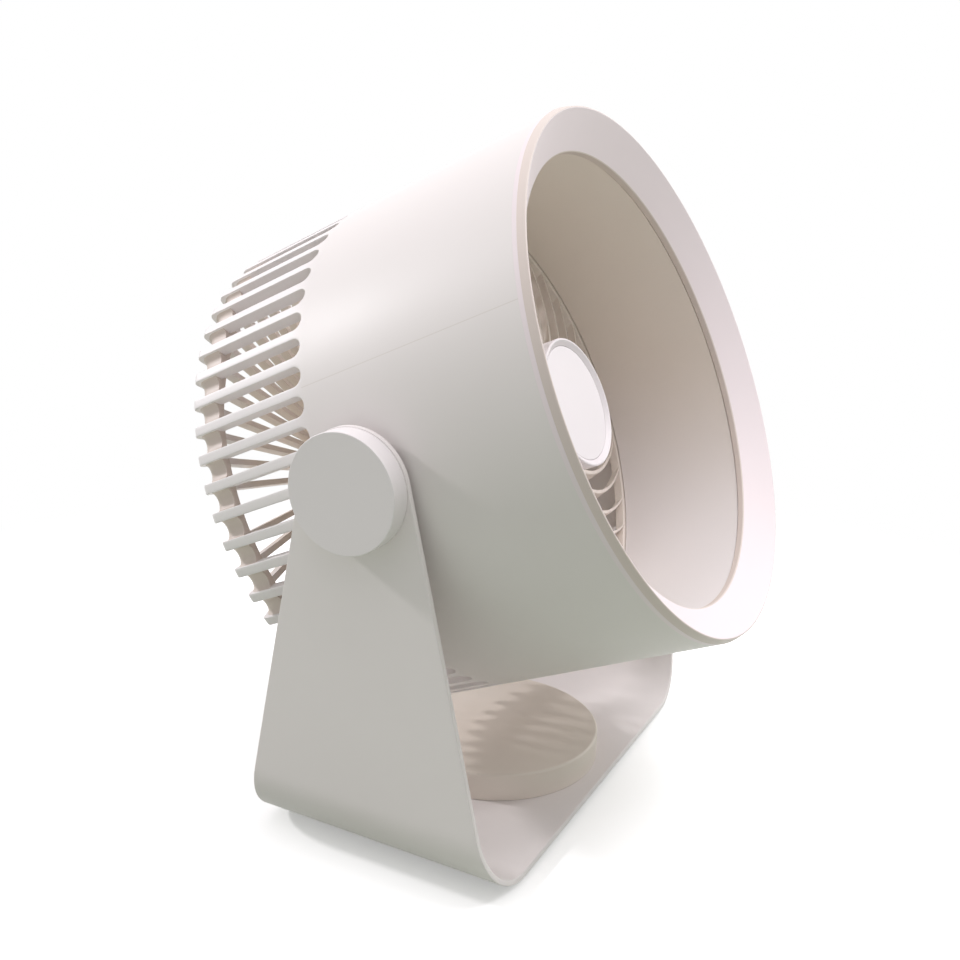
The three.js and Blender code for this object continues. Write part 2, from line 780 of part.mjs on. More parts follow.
function frontGrille() {
  const ring = lathe([
    [ringInner, ringBack], [ringOuter, ringBack], [ringOuter, ringForward], [ringInner, ringForward],
  ], vaneCount);
  const hub = lathe([
    [hubRadius - hubWall, ringBack],
    [hubRadius, ringBack],
    [hubRadius, hubForward - hubEdge],
    [hubRadius - hubEdge, hubForward],
    [hubCapBore, hubForward - hubRecess],
    [hubCapBore, hubCapSeat],
    [hubCapBore - hubWall, hubCapSeat],
    [hubCapBore - hubWall, hubCapSeat - hubWall],
    [hubRadius - hubWall, hubCapSeat - hubWall],
  ], vaneCount);
  let grille = join(ring, hub);
  for (let i = 0; i < vaneCount; i += 1) {
    grille = join(grille, vane(vanePhase + 2 * Math.PI * i / vaneCount));
  }
  const sinkBack = ringForward - screwHeadHeight - seatGap;
  for (const angle of lugAngles) {
    const place = onCircle(lugCircle, angle);
    grille = cut(grille,
      rod(screwHole, ringBack - cutPast, ringForward + cutPast, holeFacets, place),
      rod(screwSink, sinkBack, ringForward + cutPast, boreFacets, place));
  }
  return grille;
}

function hubCap() {
  const plugRadius = hubCapBore - hubWall - seatGap;
  const plugBore = plugRadius - hubWall;
  const back = hubCapSeat + seatGap;
  const front = back + capDiscThickness;
  return lathe([
    [0, back],
    [plugBore, back],
    [plugBore, hubCapSeat - capPlugDepth],
    [plugRadius, hubCapSeat - capPlugDepth],
    [plugRadius, back],
    [capDiscRadius, back],
    [capDiscRadius, front - capDiscEdge],
    [capDiscRadius - capDiscEdge, front],
    [0, front],
  ], midFacets);
}

// ---------------------------------------------------------------- impeller and motor

// One blade, cambered and steeper at the tip.
function blade(turn) {
  const inner = impellerHubRadius - impellerHubWall / 2;
  const middle = -impellerFrontBehind - impellerDepth / 2;
  const mix = (root, tip, share) => root + (tip - root) * share;
  const sections = Array.from({ length: vaneSteps + 1 }, (_, i) => {
    const share = i / vaneSteps;
    const radius = mix(inner, impellerRadius, share);
    const rise = mix(bladeRootRise, bladeTipRise, share);
    const span = mix(bladeRootSpan, bladeTipSpan, share);
    const half = mix(bladeThickness, bladeTipThickness, share) / 2;
    const chord = [[-1, 0], [0, bladeCamber], [1, 0]];
    const place = ([along, bow], offset) => polar(
      radius,
      turn + bladeSweep * share + along * span / radius,
      middle + along * rise + bow + offset,
    );
    return [
      ...chord.map(point => place(point, half)),
      ...chord.toReversed().map(point => place(point, -half)),
    ];
  });
  return toSolid(loft(sections));
}

function impeller() {
  const front = -impellerFrontBehind;
  const back = front - impellerDepth;
  const bore = shaftRadius + seatGap;
  const edgeMiddle = [impellerHubRadius - impellerEdge, front - impellerEdge];
  let body = lathe([
    [bore, front],
    ...arc(edgeMiddle, impellerEdge, 90, 0, edgeSteps),
    [impellerHubRadius, back],
    [impellerHubRadius - impellerHubWall, back],
    [impellerHubRadius - impellerHubWall, front - impellerFace],
    [bore + impellerBossWall, front - impellerFace],
    [bore + impellerBossWall, front - impellerBossDepth],
    [bore, front - impellerBossDepth],
  ], midFacets);
  for (let i = 0; i < bladeCount; i += 1) {
    body = join(body, blade(2 * Math.PI * i / bladeCount));
  }
  return body;
}

function impellerNut() {
  const back = seatGap - impellerFrontBehind;
  const front = back + impellerNutHeight;
  return cut(rod(impellerNutRadius, back, front, hexFacets),
    rod(shaftRadius + seatGap, back - cutPast, front + cutPast, smallFacets));
}

const motorShaft = () => rod(shaftRadius, -motorBack - shaftTail, shaftForward, smallFacets);

// Half of the motor's shell: a cup with a bearing seat inside its closed end.
function motorCup(closedEnd, openEnd) {
  const toward = Math.sign(openEnd - closedEnd);
  const inside = closedEnd + toward * motorShell;
  const seatEnd = inside + toward * bearingWidth;
  const seat = bearingRadius + seatGap;
  return lathe([
    [shaftRadius + motorEye, closedEnd],
    [motorRadius, closedEnd],
    [motorRadius, openEnd],
    [motorBore, openEnd],
    [motorBore, inside],
    [seat + bearingSeatWall, inside],
    [seat + bearingSeatWall, seatEnd],
    [seat, seatEnd],
    [seat, inside],
    [shaftRadius + motorEye, inside],
  ], smallFacets);
}

function motorRearShell() {
  const through = [-motorBack - cutPast, motorShell + cutPast - motorBack];
  return motorScrewPlaces.reduce((shell, place) =>
    cut(shell, rod(screwHole, ...through, holeFacets, place)), motorCup(-motorBack, -motorSplit));
}

const motorFrontShell = () => motorCup(-motorFront, seatGap - motorSplit);

const collar = (inner, outer, from, to) =>
  lathe([[inner, from], [outer, from], [outer, to], [inner, to]], smallFacets);

const bearing = from =>
  collar(shaftRadius + shaftFit, bearingRadius, from, from + bearingWidth);

const statorCore = () => collar(coreOuter - coreWall, coreOuter, -coreBack, -coreFront);

const statorCoil = from =>
  collar(coreOuter - coreWall + coilInset, coreOuter - coilOutset, from, from + coilThickness);

const rotorCore = () => collar(shaftRadius + seatGap, rotorRadius, -coreBack, -coreFront);

// ---------------------------------------------------------------- back cover and controls

function rearCover() {
  const radius = podRadius + coverOverhang;
  const through = [-coverOutside - cutPast, cutPast - coverInside];
  const sink = [-coverOutside - cutPast, screwHeadHeight + seatGap - coverOutside];
  const disc = lathe([
    [0, -coverInside],
    [0, -coverOutside],
    [radius - coverEdge, -coverOutside],
    [radius, coverEdge - coverOutside],
    [radius, -coverInside],
  ], midFacets);
  return cut(disc,
    rod(buttonRadius + runGap, ...through, smallFacets),
    rod(inletRadius + seatGap, ...through, smallFacets, inletPlace),
    ...coverPostPlaces.map(place => rod(screwHole, ...through, holeFacets, place)),
    ...coverPostPlaces.map(place => rod(screwSink, ...sink, boreFacets, place)));
}

function controlBoard() {
  const front = boardThickness - boardBack;
  const postHole = [coverPostRadius + seatGap, -boardBack - cutPast, front + cutPast, boreFacets];
  return cut(rod(podBore - boardInset, -boardBack, front, midFacets),
    ...coverPostPlaces.map(place => rod(...postHole, place)));
}

const tactSwitch = () =>
  block([switchSize, switchHeight, switchSize], [0, switchHeight / 2 - switchTop, 0]);

// The push button, held behind the cover by its flange.
function speedButton() {
  const flangeRadius = buttonRadius + buttonFlange;
  const flangeBack = seatGap - coverInside;
  return lathe([
    [0, -buttonFront],
    [flangeRadius, -buttonFront],
    [flangeRadius, flangeBack],
    [buttonRadius, flangeBack],
    [buttonRadius, buttonEdge - buttonBack],
    [buttonRadius - buttonEdge, -buttonBack],
    [0, -buttonBack],
  ], smallFacets);
}

function powerInlet() {
  const floor = inletDepth - inletBack;
  const shell = cut(
    rod(inletRadius, -inletBack, -boardBack - seatGap, smallFacets, inletPlace),
    rod(inletBore, -inletBack - cutPast, floor, smallFacets, inletPlace),
  );
  const pin = rod(inletPinRadius, inletPinSink - inletBack, floor + cutPast, holeFacets, inletPlace);
  return join(shell, pin);
}

const motorLead = () => rod(leadRadius, boardThickness + seatGap - boardBack,
  -motorBack - seatGap, boreFacets, leadPlace);

// ---------------------------------------------------------------- assembly

const fan = new THREE.Group();
const stand = new THREE.Group();
const drum = new THREE.Group();
drum.position.z = pivotHeight;
drum.rotation.x = Math.PI - restTilt;
fan.add(stand, drum);

const sides = { left: -1, right: 1 };

addPiece(stand, 'yoke_bracket', yokeBracket(), creamPlastic);
addPiece(stand, 'anti_slip_pad', antiSlipPad(), padRubber);
addPiece(stand, 'base_disc', baseDisc(), creamPlastic);
addPiece(stand, 'ballast_plate', ballastPlate(), darkSteel);
baseScrewPlaces.forEach(([x, y], i) => {
  const holder = new THREE.Group();
  holder.position.set(x, y, 0);
  holder.rotation.x = Math.PI / 2;
  stand.add(holder);
  addPiece(holder, `base_screw_${i + 1}`, baseScrew(), steel);
});

const tiltAxis = new THREE.Group();
tiltAxis.position.z = pivotHeight;
stand.add(tiltAxis);
for (const [name, side] of Object.entries(sides)) {
  addPiece(tiltAxis, `arm_bush_${name}`, armBush(side), darkPlastic);
  addPiece(tiltAxis, `pivot_cap_${name}`, pivotCap(side), capPlastic);
  addPiece(drum, `friction_washer_${name}`, frictionWasher(side), greyPlastic);
  addPiece(drum, `pivot_bolt_${name}`, pivotBolt(side), steel);
  addPiece(drum, `pivot_nut_${name}`, pivotNut(side), steel);
}

addPiece(drum, 'drum_housing', drumHousing(), creamPlastic);
addPiece(drum, 'bezel_ring', bezelRing(), creamPlastic);
addPiece(drum, 'air_duct', airDuct(), innerPlastic);
addPiece(drum, 'front_grille', frontGrille(), innerPlastic);
addPiece(drum, 'hub_cap', hubCap(), capPlastic);
lugAngles.forEach((angle, i) => {
  const holder = new THREE.Group();
  const [x, z] = onCircle(lugCircle, angle);
  holder.position.set(x, ringForward - seatGap / 2, z);
  holder.rotation.x = Math.PI;
  drum.add(holder);
  addPiece(holder, `grille_screw_${i + 1}`, screw(0, ringThickness + screwBite - cutPast), steel);
});

addPiece(drum, 'motor_mount', motorMount(), innerPlastic);
addPiece(drum, 'rear_cover', rearCover(), creamPlastic);
coverPostPlaces.forEach(([x, z], i) => {
  const holder = new THREE.Group();
  holder.position.set(x, -coverOutside, z);
  drum.add(holder);
  addPiece(holder, `cover_screw_${i + 1}`, screw(0, coverThickness + screwBite - cutPast), steel);
});
addPiece(drum, 'control_board', controlBoard(), boardGreen);
addPiece(drum, 'tact_switch', tactSwitch(), darkPlastic);
addPiece(drum, 'speed_button', speedButton(), greyPlastic);
addPiece(drum, 'power_inlet', powerInlet(), darkPlastic);
addPiece(drum, 'motor_lead', motorLead(), darkPlastic);

addPiece(drum, 'motor_rear_shell', motorRearShell(), darkSteel);
addPiece(drum, 'motor_front_shell', motorFrontShell(), darkSteel);
addPiece(drum, 'stator_core', statorCore(), steel);
addPiece(drum, 'stator_coil_rear',
  statorCoil(-coreBack - seatGap - coilThickness), copper);
addPiece(drum, 'stator_coil_front', statorCoil(seatGap - coreFront), copper);
addPiece(drum, 'bearing_rear', bearing(motorShell + seatGap - motorBack), steel);
addPiece(drum, 'bearing_front', bearing(-motorFront - motorShell - seatGap - bearingWidth), steel);
motorScrewPlaces.forEach(([x, z], i) => {
  const holder = new THREE.Group();
  holder.position.set(x, -webBackBehind - seatGap - screwHeadHeight, z);
  drum.add(holder);
  const length = screwHeadHeight + seatGap + webThickness + motorScrewTip;
  addPiece(holder, `motor_screw_${i + 1}`, screw(0, length), steel);
});

addPiece(drum, 'motor_shaft', motorShaft(), steel);
addPiece(drum, 'rotor_core', rotorCore(), darkSteel);
addPiece(drum, 'impeller', impeller(), innerPlastic);
addPiece(drum, 'impeller_nut', impellerNut(), darkPlastic);

export default fan;
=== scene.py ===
import bpy
import bmesh
import json
import math
from mathutils import Matrix, Vector


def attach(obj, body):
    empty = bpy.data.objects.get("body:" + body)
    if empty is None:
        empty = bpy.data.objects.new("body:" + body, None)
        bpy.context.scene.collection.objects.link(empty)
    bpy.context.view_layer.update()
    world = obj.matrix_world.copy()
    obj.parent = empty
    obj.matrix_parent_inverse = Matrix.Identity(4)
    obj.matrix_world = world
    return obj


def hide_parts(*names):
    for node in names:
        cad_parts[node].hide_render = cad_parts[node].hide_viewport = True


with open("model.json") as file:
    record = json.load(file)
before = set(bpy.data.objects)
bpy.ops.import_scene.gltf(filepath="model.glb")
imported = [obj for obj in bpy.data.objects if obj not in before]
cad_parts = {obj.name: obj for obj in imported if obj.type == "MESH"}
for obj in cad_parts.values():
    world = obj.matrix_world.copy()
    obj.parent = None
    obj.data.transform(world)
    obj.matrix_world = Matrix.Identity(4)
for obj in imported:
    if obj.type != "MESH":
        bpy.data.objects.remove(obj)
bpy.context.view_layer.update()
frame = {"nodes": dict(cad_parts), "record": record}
nodes = frame["nodes"]
scene = bpy.context.scene
print("frame loaded:", len(nodes), "nodes")

# Lengths are in millimetres until a mesh is made. Drum lengths run forward along the
# fan axis from the tilt axis, +X is the tilt axis and +Z points down through the drum.
mm = 0.001
pose = {"pivotHeight": 145.2, "restTilt": math.radians(23.7)}
drumPlace = (Matrix.Translation((0, 0, pose["pivotHeight"]))
             @ Matrix.Rotation(math.pi - pose["restTilt"], 4, "X"))
drumAxis = drumPlace.to_3x3() @ Vector((0, 1, 0))
drumUp = drumPlace.to_3x3() @ Vector((0, 0, -1))
upright = Matrix.Rotation(math.pi / 2, 4, "X")      # a lathed part's axis stands up


# ---- shader helpers

def plug(tree, socket, value):
    if isinstance(value, Wire):
        tree.links.new(value.socket, socket)
    else:
        socket.default_value = value


class Wire:
    # a number from a shader socket, ready to be used in sums
    def __init__(self, tree, socket):
        self.tree, self.socket = tree, socket

    def work(self, operation, first, second):
        node = self.tree.nodes.new("ShaderNodeMath")
        node.operation = operation
        plug(self.tree, node.inputs[0], first)
        plug(self.tree, node.inputs[1], second)
        return Wire(self.tree, node.outputs[0])

    def __add__(self, other):
        return self.work("ADD", self, other)

    __radd__ = __add__

    def __sub__(self, other):
        return self.work("SUBTRACT", self, other)

    def __rsub__(self, other):
        return self.work("SUBTRACT", other, self)

    def __mul__(self, other):
        return self.work("MULTIPLY", self, other)

    __rmul__ = __mul__

    def __lt__(self, other):
        return self.work("LESS_THAN", self, other)

    def __gt__(self, other):
        return self.work("GREATER_THAN", self, other)

    def __abs__(self):
        return self.work("ABSOLUTE", self, 0)


class Nodes:
    # adds nodes to one node tree
    def __init__(self, tree):
        self.tree = tree

    def add(self, kind, settings, inputs, output=0):
        node = self.tree.nodes.new(kind)
        for key, value in settings.items():
            setattr(node, key, value)
        for key, value in inputs.items():
            plug(self.tree, node.inputs[key], value)
        return Wire(self.tree, node.outputs[output])

    def mix(self, factor, first, second):
        # 6 and 7 are a Mix node's two colours, and output 2 is its mixed colour
        return self.add("ShaderNodeMix", {"data_type": "RGBA"},
                        {0: factor, 6: (*first, 1) if isinstance(first, tuple) else first,
                         7: (*second, 1) if isinstance(second, tuple) else second}, 2)

    def vectors(self, operation, first, second, output="Value"):
        return self.add("ShaderNodeVectorMath", {"operation": operation},
                        {0: first, 1: second}, output)

    def fade(self, value, start, end):
        # 0 at the start and 1 at the end, with a smooth change between them
        return self.add("ShaderNodeMapRange", {"interpolation_type": "SMOOTHSTEP"},
                        {"Value": value, "From Min": start, "From Max": end})

    def place(self):
        return self.add("ShaderNodeTexCoord", {}, {}, "Object")


class Finish(Nodes):
    # a material and the nodes that are added to it
    def __init__(self, name):
        self.material = bpy.data.materials.new(name)
        self.material.use_nodes = True
        super().__init__(self.material.node_tree)
        self.shader = self.tree.nodes["Principled BSDF"]

    def noise(self, size, detail, roughness=0.5):
        # size is the width of a blotch in millimetres
        return self.add("ShaderNodeTexNoise", {}, {
            "Vector": self.place(), "Scale": 1 / (size * mm),
            "Detail": detail, "Roughness": roughness}, "Fac")

    def bump(self, height, depth):
        # depth in millimetres for a height of 1
        return self.add("ShaderNodeBump", {}, {
            "Strength": 1.0, "Distance": depth * mm, "Height": height}, "Normal")

    def onDrum(self):
        # a point's place from the pivot, its way along the fan axis and its distance from it
        fromPivot = self.vectors("SUBTRACT", self.place(),
                                 Vector((0, 0, pose["pivotHeight"] * mm)), "Vector")
        along = self.vectors("DOT_PRODUCT", fromPivot, drumAxis)
        onAxis = self.add("ShaderNodeVectorMath", {"operation": "SCALE"},
                          {0: drumAxis, "Scale": along})
        return fromPivot, along, self.vectors("DISTANCE", fromPivot, onAxis)

    def set(self, values):
        for key, value in values.items():
            plug(self.tree, self.shader.inputs[key], value)
        return self

    def paint(self, mask, colour):
        # lays a colour over the base colour, where the mask is 1
        below = Wire(self.tree, self.shader.inputs["Base Color"].links[0].from_socket)
        self.set({"Base Color": self.mix(mask, below, colour)})


# ---- mesh helpers

def filleted(points, closed=True):
    # corners are (radius, along) or (radius, along, fillet); fillets become short arcs
    path = []
    count = len(points)
    for i, point in enumerate(points):
        corner = Vector(point[:2])
        fillet = point[2] if len(point) > 2 else 0
        if not fillet or (not closed and i in (0, count - 1)):
            path.append(tuple(corner))
            continue
        before = (Vector(points[i - 1][:2]) - corner).normalized()
        after = (Vector(points[(i + 1) % count][:2]) - corner).normalized()
        opening = before.angle(after)
        reach = fillet / math.tan(opening / 2)
        start, end = corner + before * reach, corner + after * reach
        middle = corner + (before + after).normalized() * fillet / math.sin(opening / 2)
        steps = max(2, math.ceil((math.pi - opening) / math.radians(18)))
        first, last = start - middle, end - middle
        sweep = first.angle_signed(last)
        for step in range(steps + 1):
            turn = -sweep * step / steps
            cosTurn, sinTurn = math.cos(turn), math.sin(turn)
            path.append((middle.x + first.x * cosTurn - first.y * sinTurn,
                         middle.y + first.x * sinTurn + first.y * cosTurn))
    return path


def lathed(profile, segments, closed=True):
    # turns a profile about the Y axis; a profile that isn't closed ends on the axis
    rows = len(profile)
    points, faces = [], []
    for i in range(segments):
        angle = 2 * math.pi * i / segments
        points += [(r * math.cos(angle), along, r * math.sin(angle)) for r, along in profile]
    for i in range(segments):
        here, there = i * rows, (i + 1) % segments * rows
        for j in range(rows if closed else rows - 1):
            k = (j + 1) % rows
            faces.append((here + j, here + k, there + k, there + j))
    return points, faces


def lofted(sections, closedEnds=True):
    # joins loops with the same number of points
    count = len(sections[0])
    points = [point for section in sections for point in section]
    faces = []
    for row in range(len(sections) - 1):
        for i in range(count):
            j = (i + 1) % count
            here = row * count
            faces.append((here + i, here + j, here + count + j, here + count + i))
    if closedEnds:
        last = (len(sections) - 1) * count
        faces += [tuple(range(count)), tuple(last + i for i in range(count))]
    return points, faces


def moved(part, place):
    points, faces = part
    return [tuple(place @ Vector(point)) for point in points], faces


def together(*parts):
    points, faces = [], []
    for partPoints, partFaces in parts:
        start = len(points)
        points += partPoints
        faces += [tuple(start + corner for corner in face) for face in partFaces]
    return points, faces


def rod(radius, start, end, segments=48, edge=0.2):
    return lathed(filleted([(0, start), (radius, start, edge), (radius, end, edge), (0, end)],
                           closed=False), segments, closed=False)


def flatSheet(outlines, thickness, edge):
    # a plate in the XY plane with round edges, from its outer outline and its holes
    curve = bpy.data.curves.new("outline", "CURVE")
    curve.dimensions = "2D"
    curve.fill_mode = "BOTH"
    curve.extrude = thickness / 2 - edge
    curve.bevel_depth = edge
    curve.bevel_resolution = 2
    curve.offset = -edge
    for number, outline in enumerate(outlines):
        ordered = outline if number == 0 else outline[::-1]
        spline = curve.splines.new("POLY")
        spline.points.add(len(ordered) - 1)
        for point, (x, y) in zip(spline.points, ordered):
            point.co = (x, y, 0, 1)
        spline.use_cyclic_u = True
    holder = bpy.data.objects.new("outline", curve)
    scene.collection.objects.link(holder)
    shown = holder.evaluated_get(bpy.context.evaluated_depsgraph_get())
    mesh = bpy.data.meshes.new_from_object(shown)
    part = ([tuple(vertex.co) for vertex in mesh.vertices],
            [tuple(face.vertices) for face in mesh.polygons])
    bpy.data.objects.remove(holder)
    bpy.data.meshes.remove(mesh)
    bpy.data.curves.remove(curve)
    return part


def circle(radius, centre=(0, 0), steps=64):
    return [(centre[0] + radius * math.cos(2 * math.pi * i / steps),
             centre[1] + radius * math.sin(2 * math.pi * i / steps)) for i in range(steps)]


def onCircle(radius, angle):
    return radius * math.cos(angle), radius * math.sin(angle)


meshing = {"weld": 0.004, "sliver": 0.0005, "sharpAngle": math.radians(35)}


def addPiece(name, part, place, body, finish, replaced):
    points, faces = part
    mesh = bpy.data.meshes.new(name)
    mesh.from_pydata([tuple((place @ Vector(point)) * mm) for point in points], [], faces)
    shape = bmesh.new()
    shape.from_mesh(mesh)
    bmesh.ops.remove_doubles(shape, verts=shape.verts, dist=meshing["weld"] * mm)
    bmesh.ops.dissolve_degenerate(shape, edges=shape.edges, dist=meshing["sliver"] * mm)
    bmesh.ops.recalc_face_normals(shape, faces=shape.faces)
    shape.to_mesh(mesh)
    shape.free()
    mesh.shade_smooth()
    mesh.set_sharp_from_angle(angle=meshing["sharpAngle"])
    mesh.materials.append(finish.material)
    piece = bpy.data.objects.new(name, mesh)
    scene.collection.objects.link(piece)
    shading = piece.modifiers.new("weightedNormals", "WEIGHTED_NORMAL")
    shading.keep_sharp = True
    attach(piece, body)
    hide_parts(*replaced)


# ---- finishes

def mouldedPlastic(name, look):
    finish = Finish(name)
    cloud = finish.noise(look["cloudSize"], 2)
    grain = finish.noise(look["grainSize"], 3, 0.6)
    tone = finish.mix(cloud, look["colour"], look["colourDeep"])
    finish.set({
        "Base Color": tone,
        "Roughness": look["roughness"] + (grain - 0.5) * look["roughnessSpread"]
        + (cloud - 0.5) * look["roughnessSpread"],
        "Normal": finish.bump(grain, look["grainDepth"]),
        "IOR": 1.49,
    })
    return finish


casingLook = {"colour": (0.815, 0.772, 0.760), "colourDeep": (0.798, 0.752, 0.738),
              "cloudSize": 38, "grainSize": 0.42, "grainDepth": 0.012,
              "roughness": 0.46, "roughnessSpread": 0.12}
# the inner parts are a warm tan, partly painted warm shade inside the drum
innerToneAndShadeLook = {**casingLook, "colour": (0.875, 0.800, 0.735), "colourDeep": (0.858, 0.780, 0.712),
             "cloudSize": 30, "roughness": 0.5}
capLook = {**casingLook, "colour": (0.860, 0.815, 0.822), "colourDeep": (0.846, 0.800, 0.806),
           "roughness": 0.42}
hubLook = {**capLook, "colour": (0.800, 0.755, 0.775), "colourDeep": (0.790, 0.745, 0.764)}
strapLook = {**casingLook, "colour": (0.850, 0.802, 0.795), "colourDeep": (0.832, 0.782, 0.772)}
# painted shade: the corner ring is darker and warmer than the drum, for the shade in its hollows
# between the slats
cornerShadeLook = {**casingLook, "colour": (0.730, 0.640, 0.585), "colourDeep": (0.690, 0.595, 0.540)}
ringLook = {**casingLook, "colour": (0.862, 0.772, 0.796), "colourDeep": (0.846, 0.754, 0.776)}
# the round base is darker and warmer than the strap, partly painted shade from the drum above it
baseToneAndShadeLook = {**casingLook, "colour": (0.825, 0.750, 0.675), "colourDeep": (0.800, 0.722, 0.645)}
darkLook = {**casingLook, "colour": (0.026, 0.027, 0.029), "colourDeep": (0.020, 0.021, 0.022),
            "cloudSize": 8, "roughness": 0.5}
greyLook = {**casingLook, "colour": (0.480, 0.470, 0.450), "colourDeep": (0.450, 0.440, 0.420),
            "cloudSize": 10, "roughness": 0.5}

casingFinish = mouldedPlastic("casingPlastic", casingLook)
baseFinish = mouldedPlastic("basePlastic", baseToneAndShadeLook)
innerFinish = mouldedPlastic("innerPlastic", innerToneAndShadeLook)
capFinish = mouldedPlastic("capPlastic", capLook)
hubFinish = mouldedPlastic("hubPlastic", hubLook)
strapFinish = mouldedPlastic("strapPlastic", strapLook)
cornerShadeFinish = mouldedPlastic("cornerPlasticPaintedShade", cornerShadeLook)
darkFinish = mouldedPlastic("blackPlastic", darkLook)
greyFinish = mouldedPlastic("greyPlastic", greyLook)

mouldLine = {"angle": math.radians(158), "width": 0.35, "behind": 14.4, "strength": 0.5,
             "colour": (0.66, 0.60, 0.56)}
# painted light: the slats are made paler, partly a painted highlight, and the spokes warmer, partly
# painted shade
drumPaintedLight = {"slatStart": 12.0, "slatEnd": 22.0, "slat": (0.895, 0.852, 0.856),
              "spokeStart": 60.0, "spokeEnd": 63.0, "spokeRadius": 94.0,
              "spokeInside": 72.0, "spoke": (0.838, 0.738, 0.665)}


def partedPlasticPaintedLight(name, look, line, paintedShading):
    # the drum's plastic: slats painted paler, partly a painted highlight, spokes painted warmer,
    # partly painted shade, and a thin mould line along its near side
    finish = mouldedPlastic(name, look)
    fromPivot, along, outward = finish.onDrum()
    toward = Vector((1, 0, 0)) * math.cos(line["angle"]) + drumUp * math.sin(line["angle"])
    beside = abs(finish.vectors("DOT_PRODUCT", fromPivot, drumAxis.cross(toward)))
    facing = finish.vectors("DOT_PRODUCT", fromPivot, toward) > 0.0
    mark = (beside < line["width"] * mm / 2) * facing * (along > -line["behind"] * mm)
    # partly painted shade on the spokes
    spokeShadeMask = (finish.fade(along, -paintedShading["spokeStart"] * mm, -paintedShading["spokeEnd"] * mm)
              * finish.fade(outward, paintedShading["spokeRadius"] * mm, paintedShading["spokeInside"] * mm))
    # partly a painted highlight on the slats
    finish.paint(finish.fade(along, -paintedShading["slatStart"] * mm, -paintedShading["slatEnd"] * mm),
                 paintedShading["slat"])
    finish.paint(spokeShadeMask, paintedShading["spoke"])
    finish.paint(mark * line["strength"], line["colour"])
    return finish


drumFinish = partedPlasticPaintedLight("drumPlastic", casingLook, mouldLine, drumPaintedLight)

# painted light: the duct is made paler toward the bottom of the drum
ductPaintedLight = {"top": 175.0, "bottom": 92.0, "colour": (0.900, 0.865, 0.868)}


def paintedLightPlastic(name, look, paintedLightFade):
    # the duct's plastic with painted light: paler toward the bottom of the drum, where light falls
    # in through the mouth
    finish = mouldedPlastic(name, look)
    height = finish.vectors("DOT_PRODUCT", finish.place(), Vector((0, 0, 1)))
    # painted light toward the bottom of the drum
    finish.paint(finish.fade(height, paintedLightFade["top"] * mm, paintedLightFade["bottom"] * mm), paintedLightFade["colour"])
    return finish


ductFinish = paintedLightPlastic("ductPlasticPaintedLight", innerToneAndShadeLook, ductPaintedLight)

# partly painted shade: the ring's rim and mouth are made warmer
ringRimShade = {"rimRadius": 98.5, "rimBack": 73.4, "mouthRadius": 86.35,
            "colour": (0.70, 0.615, 0.570)}


def rimShadePlastic(name, look, band):
    # the front ring's plastic, painted warmer on its rim and in its mouth, partly as painted shade
    finish = mouldedPlastic(name, look)
    fromPivot, along, outward = finish.onDrum()
    rim = (outward > band["rimRadius"] * mm) * (along > band["rimBack"] * mm)
    # partly painted shade on the rim and in the mouth
    finish.paint(rim + (outward < band["mouthRadius"] * mm), band["colour"])
    return finish


ringFinish = rimShadePlastic("ringPlastic", ringLook, ringRimShade)

steelLook = {"colour": (0.56, 0.57, 0.58), "colourDeep": (0.44, 0.45, 0.47),
             "roughness": 0.34, "grainSize": 0.8, "grainDepth": 0.01, "metallic": 1.0}
ironLook = {"colour": (0.09, 0.095, 0.10), "colourDeep": (0.05, 0.052, 0.055),
            "roughness": 0.62, "grainSize": 0.6, "grainDepth": 0.06, "metallic": 1.0}
paintLook = {"colour": (0.115, 0.12, 0.125), "colourDeep": (0.09, 0.094, 0.1),
             "roughness": 0.42, "grainSize": 0.7, "grainDepth": 0.02, "metallic": 0.0}
wireLook = {"colour": (0.62, 0.25, 0.10), "colourDeep": (0.42, 0.14, 0.05),
            "roughness": 0.36, "grainSize": 0.5, "grainDepth": 0.05, "metallic": 1.0}


def metal(name, look):
    finish = Finish(name)
    grain = finish.noise(look["grainSize"], 4, 0.6)
    return finish.set({
        "Base Color": finish.mix(grain, look["colour"], look["colourDeep"]),
        "Metallic": look["metallic"],
        "Roughness": look["roughness"] + (grain - 0.5) * 0.2,
        "Normal": finish.bump(grain, look["grainDepth"]),
    })


steelFinish = metal("zincSteel", steelLook)
ballastFinish = metal("castIron", ironLook)
motorFinish = metal("motorPaint", paintLook)
copperFinish = metal("enamelledWire", wireLook)


padLook = {"colour": (0.036, 0.036, 0.033), "colourDeep": (0.026, 0.026, 0.024),
           "roughness": 0.86, "grainSize": 0.5, "grainDepth": 0.05}


def rubberPad(look):
    finish = Finish("padRubber")
    grain = finish.noise(look["grainSize"], 3, 0.7)
    return finish.set({
        "Base Color": finish.mix(grain, look["colour"], look["colourDeep"]),
        "Roughness": look["roughness"] + (grain - 0.5) * 0.1,
        "Normal": finish.bump(grain, look["grainDepth"]),
    })


boardLook = {"colour": (0.024, 0.105, 0.038), "colourDeep": (0.018, 0.085, 0.030),
             "roughness": 0.4, "weaveScale": 300, "weaveDepth": 0.01, "coat": 0.3}


def boardLacquer(look):
    finish = Finish("boardLacquer")
    weave = finish.add("ShaderNodeTexWave", {"wave_type": "BANDS", "bands_direction": "DIAGONAL"},
                       {"Vector": finish.place(), "Scale": look["weaveScale"],
                        "Distortion": 1.5}, "Fac")
    return finish.set({
        "Base Color": finish.mix(weave, look["colour"], look["colourDeep"]),
        "Roughness": look["roughness"] + (weave - 0.5) * 0.1,
        "Normal": finish.bump(weave, look["weaveDepth"]),
        "Coat Weight": look["coat"],
    })


rubberFinish = rubberPad(padLook)
boardFinish = boardLacquer(boardLook)
print("finishes ready")

# ---- drum casing

